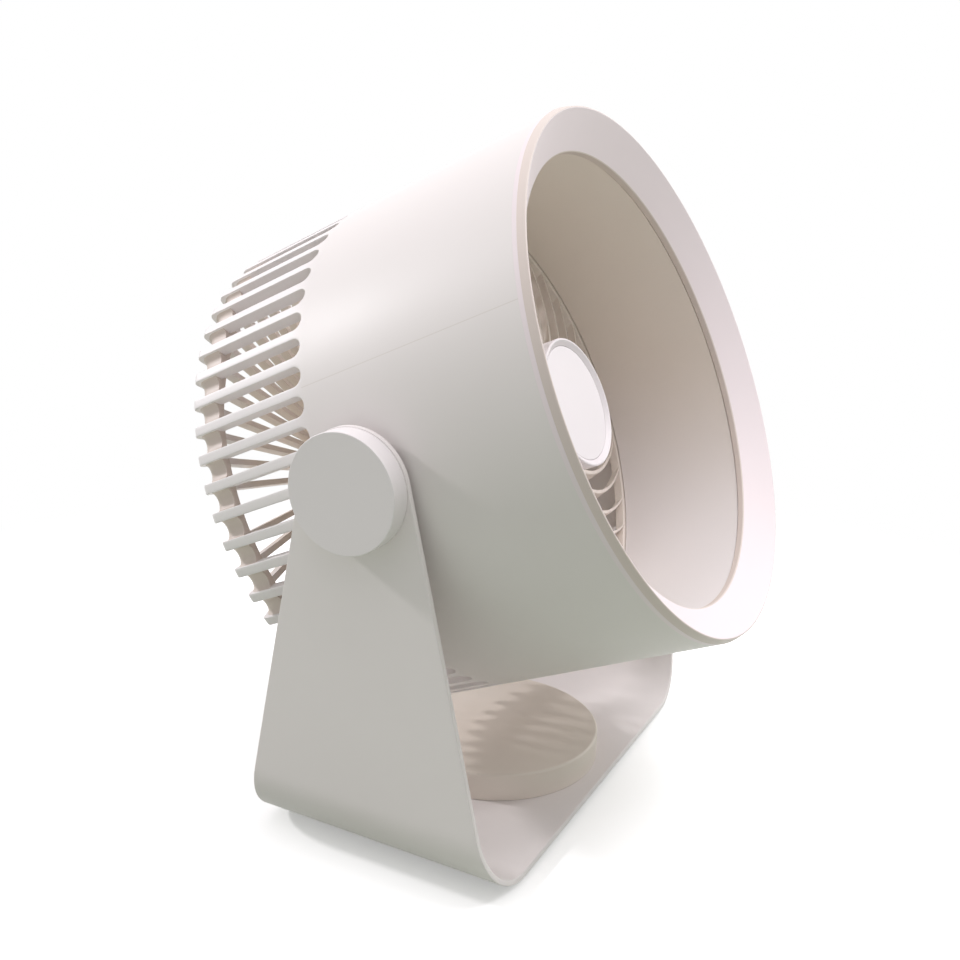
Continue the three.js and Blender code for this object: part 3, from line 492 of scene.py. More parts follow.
casing = {"radius": 100.0, "bore": 97.4, "slatBore": 95.5, "front": 71.79, "frontEdge": 0.02,
          "tubeRows": (50.0, 25.0, 0.0, -8.6), "slats": 58, "slatWidth": 3.7,
          "slotFront": 14.5, "slotSteps": 8, "slotRear": 57.0, "slatRows": (-40.0, -58.0),
          "edge": 0.45, "back": 68.2, "plateInside": 63.9, "tipRound": 2.5,
          # the inner side of a slat's rear corner, as radius and place along the axis
          "tipInside": ((94.9, -60.9), (94.2, -61.8), (93.4, -62.7), (92.4, -63.4), (91.0, -63.9)),
          "spokeOuter": 87.6, "spokeInner": 39.6, "spokeTip": 1.8, "spokeRows": (75.0, 62.0, 50.0),
          "podBore": 34.0, "plateEdge": 0.3, "plateSegments": 116,
          "padRadius": 10.0, "padProud": 0.1, "bossRadius": 4.7, "bossInside": 93.0,
          "lugs": 4, "lugInside": 91.2, "lugOutside": 98.4, "lugHalf": 4.5, "lugFront": 4.7,
          "lugDepth": 6.0, "lugEdge": 0.5}
cornerShape = {"floor": 96.9, "floorRow": -60.0, "back": 67.0, "bend": 4.0, "bendSteps": 4,
               "scoop": 2.4, "scoopBack": 1.0, "scoopSteps": 8, "bore": 94.5, "boreBack": -60.8,
               # the side that looks into the drum, as radius and place along the axis
               "inside": ((87.6, -64.1), (89.0, -63.9), (91.5, -62.5))}
pitch = 2 * math.pi / casing["slats"]
slotHalf = (casing["radius"] * pitch - casing["slatWidth"]) / 2


def casingRows():
    # rows from the front rim to the hub: outer place, inner place, way out, slot half width
    c = casing
    step = c["frontEdge"]
    rows = [
        {"out": (c["radius"] - step, c["front"]), "in": (c["bore"] + step, c["front"])},
        {"out": (c["radius"], c["front"] - step), "in": (c["bore"], c["front"] - step)},
    ]
    for along in c["tubeRows"]:
        rows.append({"out": (c["radius"], along), "in": (c["bore"], along)})
    slotCentre = -c["slotFront"] - slotHalf
    for i in range(c["slotSteps"] + 1):
        rows.append({"out": (c["radius"], slotCentre), "in": (c["slatBore"], slotCentre),
                     "way": (1, 0), "gap": slotHalf,
                     "turn": math.pi / 2 * (1 - i / c["slotSteps"])})
    straight = [(along, (c["slatBore"], along)) for along in c["slatRows"]]
    bendInside = c["tipInside"][1:]
    for along, inner in [*straight, (c["tipRound"] - c["back"], c["tipInside"][0])]:
        rows.append({"out": (c["radius"], along), "in": inner, "way": (1, 0), "gap": slotHalf})
    for i, inner in enumerate(bendInside):
        angle = -math.pi / 2 * (i + 1) / len(bendInside)
        way = (math.cos(angle), math.sin(angle))
        rows.append({"out": (c["radius"] - c["tipRound"] + c["tipRound"] * way[0],
                             c["tipRound"] - c["back"] + c["tipRound"] * way[1]),
                     "in": inner, "way": way, "gap": slotHalf})
    tipGap = (c["spokeInner"] * pitch - c["spokeTip"]) / 2
    for radius in (c["spokeOuter"], *c["spokeRows"], c["spokeInner"] - 1):
        share = (radius - c["spokeInner"]) / (c["spokeOuter"] - c["spokeInner"])
        rows.append({"out": (radius, -c["back"]), "in": (radius, -c["plateInside"]),
                     "way": (0, -1), "gap": tipGap + (slotHalf - tipGap) * share})
    return rows


def casingSector(number, rows):
    # one slat with the stretch of tube in front of it and the spoke behind it
    edge = casing["edge"]
    points, faces = [], []
    starts = (number * pitch, (number + 1) * pitch)
    middle = (number + 0.5) * pitch

    def add(radius, along, angle):
        points.append((radius * math.cos(angle), along, radius * math.sin(angle)))
        return len(points) - 1

    def aside(side, radius, offset):
        return starts[side] + (1 - 2 * side) * math.asin(offset / radius)

    def across(radius, along, edgeAngles):
        shares = (0, 0.5, 1)
        left = [edgeAngles[0] + (middle - edgeAngles[0]) * share for share in shares]
        right = [middle + (edgeAngles[1] - middle) * share for share in shares[1:]]
        return [add(radius, along, angle) for angle in left + right]

    made = []
    for row in rows:
        (outRadius, outAlong), (inRadius, inAlong) = row["out"], row["in"]
        if "gap" not in row:
            made.append({"out": across(outRadius, outAlong, starts),
                         "in": across(inRadius, inAlong, starts)})
            continue
        turn = row.get("turn", 0)
        wayOut = row["way"]

        def wallPoint(side, back, depth):
            # back: distance from the slot's wall into the slat; depth: below the surface
            wide = row["gap"] + back
            along = outAlong - wayOut[1] * depth + wide * math.sin(turn)
            radius = outRadius - wayOut[0] * depth
            return radius, along, aside(side, radius, wide * math.cos(turn))

        slack = math.sqrt(0.5)
        rims = [wallPoint(side, edge, 0) for side in (0, 1)]
        outer = across(outRadius, rims[0][1], (rims[0][2], rims[1][2]))
        halfway = [add(*wallPoint(side, edge * (1 - slack), edge * (1 - slack))) for side in (0, 1)]
        wall = [add(*wallPoint(side, 0, edge)) for side in (0, 1)]
        innerAlong = inAlong + row["gap"] * math.sin(turn)
        innerAngles = [aside(side, inRadius, row["gap"] * math.cos(turn)) for side in (0, 1)]
        made.append({"out": outer, "in": across(inRadius, innerAlong, innerAngles),
                     "halfway": halfway, "wall": wall})
    for first, second in zip(made, made[1:]):
        for sheet in ("out", "in"):
            for i in range(4):
                faces.append((first[sheet][i], first[sheet][i + 1],
                              second[sheet][i + 1], second[sheet][i]))
        if "wall" in first and "wall" in second:
            for side, end in ((0, 0), (1, -1)):
                strips = [[row["out"][end], row["halfway"][side], row["wall"][side],
                           row["in"][end]] for row in (first, second)]
                for i in range(3):
                    faces.append((strips[0][i], strips[0][i + 1],
                                  strips[1][i + 1], strips[1][i]))
    rim = made[0]
    for i in range(4):
        faces.append((rim["out"][i], rim["out"][i + 1], rim["in"][i + 1], rim["in"][i]))
    tip = made[-1]
    faces.append((*tip["out"], tip["halfway"][1], tip["wall"][1], *tip["in"][::-1],
                  tip["wall"][0], tip["halfway"][0]))
    return points, faces


def cornerRing():
    # the recessed ring between the slats' rear ends, scooped out between each two slats
    c = cornerShape
    bendStart = c["bend"] - c["back"]
    floor = [((c["floor"], along), (1, 0))
             for along in (-casing["slotRear"], c["floorRow"], bendStart)]
    for i in range(1, c["bendSteps"] + 1):
        angle = -math.pi / 2 * i / c["bendSteps"]
        way = (math.cos(angle), math.sin(angle))
        floor.append(((c["floor"] - c["bend"] * (1 - way[0]), bendStart + c["bend"] * way[1]), way))
    floor.append(((casing["spokeOuter"], -c["back"]), (0, -1)))
    inner = [*c["inside"], (c["bore"], c["boreBack"]), (c["bore"], -casing["slotRear"])]
    loops = []
    for number in range(casing["slats"]):
        for i in range(c["scoopSteps"] + 1):
            step = math.sin(math.radians(180 * i / c["scoopSteps"] - 90))
            rise = 1 - math.sqrt(max(0, 1 - step * step))
            outline = [(radius + way[0] * rise * c["scoop"], along + way[1] * rise * c["scoopBack"],
                        radius) for (radius, along), way in floor]
            outline += [(radius, along, radius) for radius, along in inner]
            loop = []
            for radius, along, reach in outline:
                angle = number * pitch + math.asin(slotHalf * step / reach)
                loop.append((radius * math.cos(angle), along, radius * math.sin(angle)))
            loops.append(loop)
    return lofted([*loops, loops[0]], closedEnds=False)


def drumHousing():
    c = casing
    rows = casingRows()
    parts = [casingSector(number, rows) for number in range(c["slats"])]
    edge = c["plateEdge"]
    parts.append(lathed(filleted([
        (c["podBore"], -c["plateInside"], edge), (c["spokeInner"], -c["plateInside"], edge),
        (c["spokeInner"], -c["back"], edge), (c["podBore"], -c["back"], edge)]),
        c["plateSegments"]))
    for side in (1, -1):
        toSide = Matrix.Rotation(-side * math.pi / 2, 4, "Z")
        pad = rod(c["padRadius"], c["bore"] + 1, c["radius"] + c["padProud"], 64, 0.1)
        parts.append(moved(pad, toSide))
        parts.append(moved(rod(c["bossRadius"], c["bossInside"], c["bore"] + 1, 32), toSide))
    near, far, half = c["lugInside"], c["lugOutside"], c["lugHalf"]
    for i in range(c["lugs"]):
        turn = Matrix.Rotation(-math.pi / 4 - math.pi / 2 * i, 4, "Y")
        block = flatSheet([[(near, -half), (far, -half), (far, half), (near, half)]],
                          c["lugDepth"], c["lugEdge"])
        tip = Matrix.Translation((0, c["lugFront"] - c["lugDepth"] / 2, 0))
        parts.append(moved(block, turn @ tip @ Matrix.Rotation(-math.pi / 2, 4, "X")))
    return together(*parts)


addPiece("drumCasing", drumHousing(), drumPlace, "drum", drumFinish, ["drum_housing"])
# the corner ring's darker finish is painted shade
addPiece("cornerRing", cornerRing(), drumPlace, "drum", cornerShadeFinish, ["drum_housing"])
print("drum casing made")

# ---- front ring, duct and grille

frontRing = {"outer": 100.0, "band": 71.8, "rimBack": 73.3, "rimBackRound": 0.8,
             "rimRadius": 98.9, "front": 76.0, "rimRound": 0.5, "dish": 98.35, "dishRound": 0.3,
             "mouth": 86.0, "mouthFront": 67.2, "mouthRound": 0.6, "mouthBack": 64.9,
             "lip": 2.0, "lipEdge": 0.3, "shoulder": 70.0,
             "skirtOuter": 97.1, "skirtInner": 95.1, "skirtBack": 63.8, "segments": 232}


def frontRingPart():
    r = frontRing
    return lathed(filleted([
        (r["skirtOuter"], r["band"]), (r["outer"], r["band"]),
        (r["outer"], r["rimBack"], r["rimBackRound"]),
        (r["rimRadius"], r["front"], r["rimRound"]), (r["dish"], r["front"], r["dishRound"]),
        (r["mouth"], r["mouthFront"], r["mouthRound"]), (r["mouth"], r["mouthBack"], r["lipEdge"]),
        (r["mouth"] + r["lip"], r["mouthBack"]), (r["skirtInner"], r["shoulder"]),
        (r["skirtInner"], r["skirtBack"]), (r["skirtOuter"], r["skirtBack"])]), r["segments"])


addPiece("frontRing", frontRingPart(), drumPlace, "drum", ringFinish, ["bezel_ring"])

duct = {"front": 64.6, "frontRadius": 86.5, "wall": 1.8, "back": 9.3, "backRadius": 92.8,
        "flange": 1.6, "flangeRadius": 97.1, "edge": 0.3, "segments": 232}


def ductPart():
    d = duct
    return lathed(filleted([
        (d["frontRadius"], d["front"], d["edge"]), (d["frontRadius"] + d["wall"], d["front"]),
        (d["backRadius"] + d["wall"], d["back"] + d["flange"]),
        (d["flangeRadius"], d["back"] + d["flange"]), (d["flangeRadius"], d["back"]),
        (d["backRadius"], d["back"], d["edge"])]), d["segments"])


addPiece("airDuct", ductPart(), drumPlace, "drum", ductFinish, ["air_duct"])

grille = {"vanes": 40, "inner": 24.6, "outer": 92.7, "back": 5.2, "front": 8.8, "rise": 6.0,
          "thickness": 2.3, "tipThickness": 1.5, "nose": 0.4, "lean": 2.2, "sections": 14,
          "swirl": math.radians(30), "phase": math.radians(-0.5),
          "ringInner": 91.2, "ringOuter": 97.1, "ringBack": 5.0, "ringFront": 9.0,
          "ringSegments": 232, "edge": 0.3, "ringNose": 0.4}
hub = {"radius": 25.5, "wall": 1.8, "rimBack": 33.0, "front": 38.3, "frontRound": 0.5,
       "lip": 0.9, "lipRound": 0.25, "capBore": 22.8, "recess": 1.3, "recessRound": 0.15,
       "seat": 34.2, "segments": 128}
hub["bore"] = hub["radius"] - hub["wall"]


def vanePart(turn):
    # a thin strip that swirls out from the hub, with a rounded front edge
    g = grille
    sections = []
    for i in range(g["sections"] + 1):
        share = i / g["sections"]
        radius = g["inner"] + (g["outer"] - g["inner"]) * share
        spread = (radius ** 2 - g["inner"] ** 2) / (g["outer"] ** 2 - g["inner"] ** 2)
        angle = turn - g["swirl"] * spread
        half = (g["thickness"] + (g["tipThickness"] - g["thickness"]) * share) / 2
        front = g["front"] + g["rise"] * (1 - share)
        edge = half * g["nose"]
        bend = [(edge * math.sin(math.pi * k / 6), edge * math.cos(math.pi * k / 6))
                for k in range(4)]
        outline = [(-half, g["back"])]
        outline += [(-half + edge - x, front - edge + y) for x, y in bend[::-1]]
        outline += [(half - edge + x, front - edge + y) for x, y in bend]
        outline.append((half, g["back"]))
        loop = []
        for offset, along in outline:
            lean = g["lean"] * (front - along) / (front - g["back"])
            there = angle + (offset + lean) / radius
            loop.append((radius * math.cos(there), along, radius * math.sin(there)))
        sections.append(loop)
    return lofted(sections)


def grillePart():
    g, edge = grille, grille["edge"]
    ring = lathed(filleted([
        (g["ringInner"], g["ringBack"], edge), (g["ringOuter"], g["ringBack"], edge),
        (g["ringOuter"], g["ringFront"], edge), (g["ringInner"], g["ringFront"], g["ringNose"])]),
        g["ringSegments"])
    tube = lathed(filleted([
        (hub["bore"], g["ringBack"], edge), (hub["radius"], g["ringBack"], edge),
        (hub["radius"], hub["rimBack"]), (hub["bore"], hub["rimBack"])]), hub["segments"])
    vanes = [vanePart(g["phase"] + 2 * math.pi * i / g["vanes"]) for i in range(g["vanes"])]
    return together(ring, tube, *vanes)


def hubRimPart():
    # the hub's front end, with the shallow recess round the hub disc
    h = hub
    seatBack = h["seat"] - h["wall"]
    return lathed(filleted([
        (h["radius"], h["rimBack"]), (h["radius"], h["front"], h["frontRound"]),
        (h["radius"] - h["lip"], h["front"], h["lipRound"]),
        (h["capBore"], h["front"] - h["recess"], h["recessRound"]), (h["capBore"], h["seat"]),
        (h["capBore"] - h["wall"], h["seat"]), (h["capBore"] - h["wall"], seatBack),
        (h["bore"], seatBack), (h["bore"], h["rimBack"])]), h["segments"])


addPiece("frontGrille", grillePart(), drumPlace, "drum", innerFinish, ["front_grille"])
addPiece("hubRim", hubRimPart(), drumPlace, "drum", hubFinish, ["front_grille"])

hubDisc = {"radius": 22.7, "back": 34.5, "front": 37.0, "edge": 0.25, "backEdge": 0.2,
           "plugOuter": 20.0, "plugInner": 18.2, "plugBack": 30.2, "segments": 128}


def hubDiscPart():
    h, edge = hubDisc, hubDisc["backEdge"]
    return lathed(filleted([
        (0, h["back"]), (h["plugInner"], h["back"]), (h["plugInner"], h["plugBack"], edge),
        (h["plugOuter"], h["plugBack"], edge), (h["plugOuter"], h["back"]),
        (h["radius"], h["back"], edge), (h["radius"], h["front"], h["edge"]),
        (0, h["front"])], closed=False), h["segments"], closed=False)


addPiece("hubDisc", hubDiscPart(), drumPlace, "drum", hubFinish, ["hub_cap"])
print("front made")

# ---- impeller

rotor = {"blades": 7, "hubRadius": 30.5, "hubWall": 1.9, "front": -5.0, "depth": 26.0,
         "face": 3.0, "edge": 3.0, "bore": 2.8, "bossWall": 3.7, "bossDepth": 6.0,
         "tip": 87.7, "rootRise": 10.9, "tipRise": 8.8, "rootSpan": 9.0, "tipSpan": 24.0,
         "camber": 3.5, "sweep": math.radians(7), "rootThickness": 2.0, "tipThickness": 1.3,
         "tipCut": 0.16, "tipCutStart": 0.72, "thinning": 0.55,
         "radialSteps": 12, "chordSteps": 10, "segments": 96}


def bladePart(turn):
    r = rotor
    inner = r["hubRadius"] - r["hubWall"] / 2
    middle = r["front"] - r["depth"] / 2
    sections = []
    for i in range(r["radialSteps"] + 1):
        share = i / r["radialSteps"]
        radius = inner + (r["tip"] - inner) * share
        rise = r["rootRise"] + (r["tipRise"] - r["rootRise"]) * share
        span = r["rootSpan"] + (r["tipSpan"] - r["rootSpan"]) * share
        # the corners at the tip are rounded off
        past = max(0, (share - r["tipCutStart"]) / (1 - r["tipCutStart"]))
        shorten = 1 - r["tipCut"] * past ** 2
        thick = r["rootThickness"] + (r["tipThickness"] - r["rootThickness"]) * share
        upper, lower = [], []
        for k in range(r["chordSteps"] + 1):
            along = -1 + 2 * k / r["chordSteps"]
            bow = r["camber"] * (1 - along ** 2)
            half = thick / 2 * (1 - r["thinning"] * along ** 4)
            angle = turn + r["sweep"] * share + along * span * shorten / radius
            height = middle + along * rise * shorten + bow
            for sheet, offset in ((upper, half), (lower, -half)):
                sheet.append((radius * math.cos(angle), height + offset, radius * math.sin(angle)))
        sections.append(upper + lower[::-1])
    return lofted(sections)


def rotorPart():
    r = rotor
    back = r["front"] - r["depth"]
    boss = r["bore"] + r["bossWall"]
    core = lathed(filleted([
        (r["bore"], r["front"], 0.2), (r["hubRadius"], r["front"], r["edge"]),
        (r["hubRadius"], back, 0.3), (r["hubRadius"] - r["hubWall"], back, 0.3),
        (r["hubRadius"] - r["hubWall"], r["front"] - r["face"], 1.0),
        (boss, r["front"] - r["face"], 0.6), (boss, r["front"] - r["bossDepth"], 0.2),
        (r["bore"], r["front"] - r["bossDepth"])]), r["segments"])
    blades = [bladePart(2 * math.pi * i / r["blades"]) for i in range(r["blades"])]
    return together(core, *blades)


addPiece("fanWheel", rotorPart(), drumPlace, "impeller", innerFinish, ["impeller"])
print("fan wheel made")

# ---- stand

strap = {"armOutside": 104.2, "thickness": 2.2, "bend": 28.0, "bottom": 1.8,
         "front": -55.7, "back": 51.5, "topRadius": 20.9, "edge": 0.5,
         "baseSteps": 4, "bendSteps": 16, "armSteps": 6, "topSteps": 20, "columns": 6}


def strapPart():
    # the strap follows its path from the top of one arm round the base to the other
    s = strap
    bendX = s["armOutside"] - s["bend"]
    bendZ = s["bottom"] + s["bend"]
    bendLength = s["bend"] * math.pi / 2
    leans, limits = {}, {}
    for side, reach in (("front", -s["front"]), ("back", s["back"])):
        far = math.hypot(reach, pose["pivotHeight"])
        leans[side] = math.atan2(reach, pose["pivotHeight"]) - math.asin(s["topRadius"] / far)
        touch = (s["topRadius"] * math.cos(leans[side]),
                 pose["pivotHeight"] + s["topRadius"] * math.sin(leans[side]))
        limits[side] = (reach, (reach - touch[0]) / touch[1])

    def place(path, depth):
        far = abs(path)
        sign = 1 if path >= 0 else -1
        if far <= bendX:
            return path, s["bottom"] + depth
        if far <= bendX + bendLength:
            angle = (far - bendX) / s["bend"]
            radius = s["bend"] - depth
            return sign * (bendX + radius * math.sin(angle)), bendZ - radius * math.cos(angle)
        return sign * (s["armOutside"] - depth), bendZ + far - bendX - bendLength

    def edgePoint(station, side, inset, depth):
        way = -1 if side == "front" else 1
        if "turn" in station:
            angle = leans[side] + (math.pi / 2 - leans[side]) * station["turn"]
            radius = s["topRadius"] - inset
            return Vector((station["side"] * (s["armOutside"] - depth),
                           way * radius * math.cos(angle),
                           pose["pivotHeight"] + radius * math.sin(angle)))
        x, z = place(station["path"], depth)
        reach, slope = limits[side]
        return Vector((x, way * (reach - slope * z - inset), z))

    straightTop = pose["pivotHeight"] - bendZ + bendX + bendLength
    half = [{"path": bendX * i / s["baseSteps"]} for i in range(1, s["baseSteps"] + 1)]
    half += [{"path": bendX + bendLength * i / s["bendSteps"]}
             for i in range(1, s["bendSteps"] + 1)]
    half += [{"path": bendX + bendLength + (straightTop - bendX - bendLength) * i / s["armSteps"]}
             for i in range(1, s["armSteps"])]
    half += [{"turn": i / s["topSteps"], "side": 1} for i in range(s["topSteps"] + 1)]
    left = [{"path": -station["path"]} if "path" in station else {**station, "side": -1}
            for station in half]
    loops = []
    slack = s["edge"] * (1 - math.sqrt(0.5))
    for station in [*left[::-1], {"path": 0}, *half]:
        loop = []
        for first, second, depth in (("front", "back", 0), ("back", "front", s["thickness"])):
            start = edgePoint(station, first, s["edge"], depth)
            end = edgePoint(station, second, s["edge"], depth)
            loop += [start.lerp(end, i / s["columns"]) for i in range(s["columns"] + 1)]
            deep = 1 if depth == 0 else -1
            for inset, down in ((slack, slack), (0, s["edge"])):
                loop.append(edgePoint(station, second, inset, depth + deep * down))
            for inset, down in ((0, s["edge"]), (slack, slack)):
                far = s["thickness"] - depth
                loop.append(edgePoint(station, second, inset, far - deep * down))
        loops.append([tuple(point) for point in loop])
    return lofted(loops)


addPiece("strapBracket", strapPart(), Matrix.Identity(4), "stand", strapFinish,
         ["yoke_bracket"])

roundBase = {"radius": 46.3, "bottom": 4.05, "top": 15.8, "edge": 1.1, "wall": 2.2,
             "inside": 1.0, "lowerEdge": 0.25, "ahead": 2.1, "segments": 192}


def roundBasePart():
    b = roundBase
    return lathed(filleted([
        (0, b["top"] - b["wall"]), (b["radius"] - b["wall"], b["top"] - b["wall"], b["inside"]),
        (b["radius"] - b["wall"], b["bottom"]), (b["radius"], b["bottom"], b["lowerEdge"]),
        (b["radius"], b["top"], b["edge"]), (0, b["top"])], closed=False),
        b["segments"], closed=False)


addPiece("roundBase", roundBasePart(), Matrix.Translation((0, -roundBase["ahead"], 0)) @ upright,
         "stand", baseFinish, ["base_disc"])

knob = {"inside": 104.25, "outside": 112.0, "radius": 20.5, "shell": 2.2, "edge": 0.35,
        "innerRound": 0.8, "lowerEdge": 0.25, "segments": 128}


def knobPart():
    k = knob
    bore, roof = k["radius"] - k["shell"], k["outside"] - k["shell"]
    return lathed(filleted([
        (0, roof), (bore, roof, k["innerRound"]), (bore, k["inside"]),
        (k["radius"], k["inside"], k["lowerEdge"]), (k["radius"], k["outside"], k["edge"]),
        (0, k["outside"])], closed=False), k["segments"], closed=False)


for sideName, side in (("left", -1), ("right", 1)):
    atPivot = (Matrix.Translation((0, 0, pose["pivotHeight"]))
               @ Matrix.Rotation(-side * math.pi / 2, 4, "Z"))
    addPiece("knob_" + sideName, knobPart(), atPivot, "stand", capFinish,
             ["pivot_cap_" + sideName])
print("stand made")

# ---- back cover and what is on it

cover = {"radius": 38.8, "inside": -68.5, "outside": -71.5, "edge": 0.3, "screws": 3,
         "screwCircle": 27.0, "screwStart": math.pi / 6, "sinkRadius": 2.75,
         "buttonHole": 6.6, "inletOffset": 17.0, "inletHole": 4.5}
toPlate = Matrix.Rotation(math.pi / 2, 4, "X")      # the plate's Z looks to the rear
screwAngles = [cover["screwStart"] + 2 * math.pi * i / cover["screws"]
               for i in range(cover["screws"])]
screwPlaces = [onCircle(cover["screwCircle"], angle) for angle in screwAngles]


def coverPart():
    c = cover
    holes = [circle(c["buttonHole"]), circle(c["inletHole"], (0, c["inletOffset"]))]
    holes += [circle(c["sinkRadius"], (x, z), 32) for x, z in screwPlaces]
    plate = flatSheet([circle(c["radius"], steps=128), *holes], c["inside"] - c["outside"],
                      c["edge"])
    middle = Matrix.Translation((0, (c["inside"] + c["outside"]) / 2, 0))
    return moved(plate, middle @ toPlate)


addPiece("rearCover", coverPart(), drumPlace, "drum", casingFinish, ["rear_cover"])

coverScrew = {"headRadius": 2.4, "headHeight": 1.4, "headEdge": 0.12, "slotWidth": 0.55,
              "slotLength": 3.2, "slotDepth": 0.8, "shankRadius": 1.5, "length": 7.0}


def coverScrewPart():
    # a round head with a cross in it, and a plain shank
    c = coverScrew
    wide, long = c["slotWidth"] / 2, c["slotLength"] / 2
    cross = [(wide, wide), (long, wide), (long, -wide), (wide, -wide), (wide, -long),
             (-wide, -long), (-wide, -wide), (-long, -wide), (-long, wide), (-wide, wide),
             (-wide, long), (wide, long)]
    face = flatSheet([circle(c["headRadius"], steps=40), cross], c["slotDepth"], c["headEdge"])
    topHalf = moved(face, Matrix.Translation((0, c["slotDepth"] / 2, 0)) @ toPlate)
    under = rod(c["headRadius"], c["slotDepth"], c["headHeight"], 40, 0.05)
    shank = rod(c["shankRadius"], c["headHeight"] - 0.1, c["length"], 24)
    return together(topHalf, under, shank)


for number, (x, z) in enumerate(screwPlaces, 1):
    addPiece(f"coverScrew_{number}", coverScrewPart(),
             drumPlace @ Matrix.Translation((x, cover["outside"], z)), "drum",
             steelFinish, [f"cover_screw_{number}"])

pushButton = {"radius": 6.0, "flange": 7.6, "flangeEdge": 0.2, "back": -72.4, "edge": 0.6,
              "front": -65.7, "flangeBack": -68.2, "rim": 1.4, "rimEdge": 0.5,
              "dish": 0.35, "dishStart": 2.4, "dishRound": 0.8, "segments": 64}


def pushButtonPart():
    b, edge = pushButton, pushButton["flangeEdge"]
    return lathed(filleted([
        (0, b["front"]), (b["flange"], b["front"], edge), (b["flange"], b["flangeBack"], edge),
        (b["radius"], b["flangeBack"]), (b["radius"], b["back"], b["edge"]),
        (b["radius"] - b["rim"], b["back"], b["rimEdge"]),
        (b["radius"] - b["dishStart"], b["back"] + b["dish"], b["dishRound"]),
        (0, b["back"] + b["dish"])], closed=False), b["segments"], closed=False)


addPiece("pushButton", pushButtonPart(), drumPlace, "button", greyFinish,
         ["speed_button"])

inlet = {"radius": 4.2, "bore": 2.9, "back": -71.1, "front": -60.1, "floor": -64.1,
         "edge": 0.2, "backEdge": 0.25, "boreEdge": 0.3, "segments": 48,
         "pinRadius": 0.8, "pinBack": -70.3, "pinSink": 0.5, "pinRound": 0.3}


def inletPart():
    s = inlet
    shell = lathed(filleted([
        (0, s["front"]), (s["radius"], s["front"], s["edge"]),
        (s["radius"], s["back"], s["backEdge"]), (s["bore"], s["back"], s["boreEdge"]),
        (s["bore"], s["floor"], s["edge"]), (0, s["floor"])],
        closed=False), s["segments"], closed=False)
    pin = rod(s["pinRadius"], s["pinBack"], s["floor"] + s["pinSink"], 24, s["pinRound"])
    return moved(together(shell, pin), Matrix.Translation((0, 0, cover["inletOffset"])))


addPiece("powerSocket", inletPart(), drumPlace, "drum", darkFinish,
         ["power_inlet"])
print("back made")

# ---- pieces that keep their own shape

slotFinishes = {"casing": casingFinish, "inner": innerFinish, "cap": capFinish,
                "dark_plastic": darkFinish, "grey_plastic": greyFinish, "pad": rubberFinish,
                "steel": steelFinish, "ballast": ballastFinish, "motor": motorFinish,
                "copper": copperFinish, "board": boardFinish}
for subpart in frame["record"]["subparts"]:
    mesh = nodes[subpart["node"]].data
    mesh.materials.clear()
    mesh.materials.append(slotFinishes[subpart["material_slot"]].material)
print("carried-over pieces finished")

# ---- floor, light and camera

# The room and the lamps are in metres. Direct rays see a white floor and world; for the
# others the floor has the colour called bounce and the world the strength called fill.
room = {"floorSize": 30.0, "floorDrop": 0.0002, "bounce": (0.36, 0.41, 0.33),
        "fadeStart": 0.20, "fadeEnd": 0.45, "glow": 0.3, "fill": 0.51,
        "fillTint": (1.0, 0.985, 1.0)}


def directRays(builder):
    # 1 for rays that show the backdrop: from the camera, mirrored in metal or through glass
    fromCamera, mirrored, through = (
        builder.add("ShaderNodeLightPath", {}, {}, f"Is {kind} Ray")
        for kind in ("Camera", "Glossy", "Transmission"))
    bounced = mirrored.work("MAXIMUM", mirrored, through)
    return fromCamera.work("MAXIMUM", fromCamera, bounced)


def buildRoom():
    half = room["floorSize"] / 2
    mesh = bpy.data.meshes.new("floor")
    mesh.from_pydata([(x, y, -room["floorDrop"]) for x, y in
                      ((-half, -half), (half, -half), (half, half), (-half, half))],
                     [], [(0, 1, 2, 3)])
    floor = bpy.data.objects.new("floor", mesh)
    scene.collection.objects.link(floor)
    finish = Finish("floorPaper")
    seen = directRays(finish)
    distance = finish.add("ShaderNodeVectorMath", {"operation": "LENGTH"},
                          {0: finish.place()}, "Value")
    far = finish.fade(distance, room["fadeStart"], room["fadeEnd"])
    glow = seen * (room["glow"] + far * (1 - room["glow"]))
    black, white = (0.0,) * 3, (1.0,) * 3
    paper = finish.mix(seen, room["bounce"], white)
    finish.set({"Base Color": finish.mix(seen * far, paper, black),
                "Emission Color": finish.mix(glow, black, white),
                "Emission Strength": 1.0, "Roughness": 0.9, "Specular IOR Level": 0.0})
    mesh.materials.append(finish.material)
    world = bpy.data.worlds.new("studio")
    scene.world = world
    world.use_nodes = True
    sky = Nodes(world.node_tree)
    background = sky.tree.nodes["Background"]
    seen = directRays(sky)
    plug(sky.tree, background.inputs["Strength"], room["fill"] + seen * (1 - room["fill"]))
    plug(sky.tree, background.inputs["Color"], sky.mix(seen, room["fillTint"], white))


buildRoom()

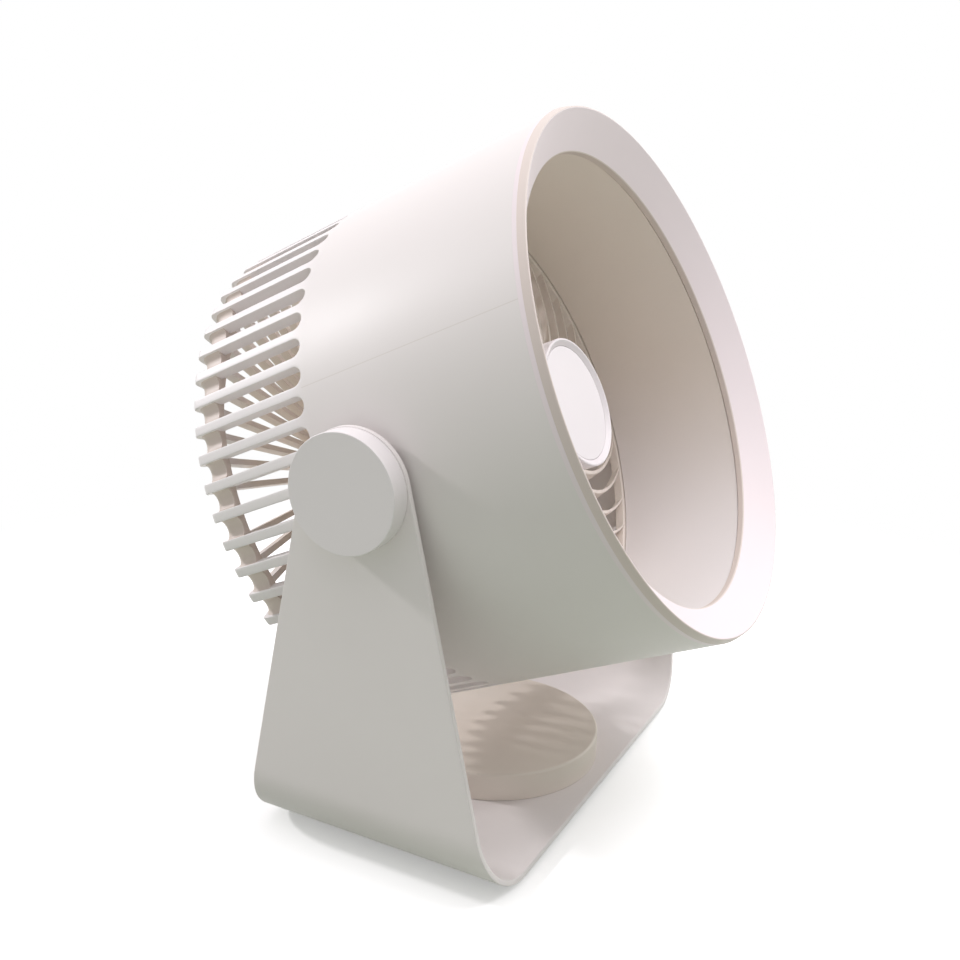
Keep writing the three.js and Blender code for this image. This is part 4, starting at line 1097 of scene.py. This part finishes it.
lamps = {
    "key": {"place": (0.25, -0.45, 1.3), "size": 0.9, "power": 10.7,
            "tint": (1.0, 0.98, 1.0)},
    "topLight": {"place": (-0.45, 0.0, 1.25), "size": 0.9, "power": 1.5,
                 "tint": (1.0, 0.98, 1.0)},
    "rightLight": {"place": (0.95, -0.75, 0.6), "size": 0.35, "power": 3.0,
                   "tint": (1.0, 0.99, 0.99)},
    "rearLight": {"place": (-0.35, 1.15, 0.75), "size": 0.13, "power": 7.2,
                  "tint": (1.0, 0.975, 1.0)},
}
aim = Vector((0, 0, 0.12))      # all lamps point here
for name, lamp in lamps.items():
    light = bpy.data.lights.new(name, "AREA")
    light.shape = "DISK"
    light.size = lamp["size"]
    light.energy = lamp["power"]
    light.color = lamp["tint"]
    holder = bpy.data.objects.new(name, light)
    holder.location = lamp["place"]
    holder.rotation_euler = (aim - Vector(lamp["place"])).to_track_quat("-Z", "Y").to_euler()
    scene.collection.objects.link(holder)

# angles in degrees, lengths in millimetres, focal length, centre and frame in picture points
shot = {"azimuth": -60.27, "elevation": 18.056, "roll": -0.827, "distance": 402.547,
        "target": (-57.616, 0, 118.108), "focal": 1098.45, "centre": (423.9, 531.4), "frame": 960}


def buildCamera():
    s = shot
    azimuth, elevation, roll = (math.radians(s[key]) for key in ("azimuth", "elevation", "roll"))
    back = Vector((math.sin(azimuth) * math.cos(elevation),
                   -math.cos(azimuth) * math.cos(elevation), math.sin(elevation)))
    right = (-back).cross(Vector((0, 0, 1))).normalized()
    down = (-back).cross(right)
    rightRolled = right * math.cos(roll) + down * math.sin(roll)
    downRolled = down * math.cos(roll) - right * math.sin(roll)
    eye = (Vector(s["target"]) + back * s["distance"]) * mm
    data = bpy.data.cameras.new("photoCamera")
    data.sensor_width = 36
    data.lens = s["focal"] / s["frame"] * data.sensor_width
    data.shift_x = 0.5 - s["centre"][0] / s["frame"]
    data.shift_y = s["centre"][1] / s["frame"] - 0.5
    data.clip_start, data.clip_end = 0.02, 20
    camera = bpy.data.objects.new("photoCamera", data)
    turned = Matrix((rightRolled, -downRolled, back)).transposed().to_4x4()
    camera.matrix_world = Matrix.Translation(eye) @ turned
    scene.collection.objects.link(camera)
    scene.camera = camera


buildCamera()
scene.view_settings.view_transform = "Standard"
print("room, lamps and camera made")
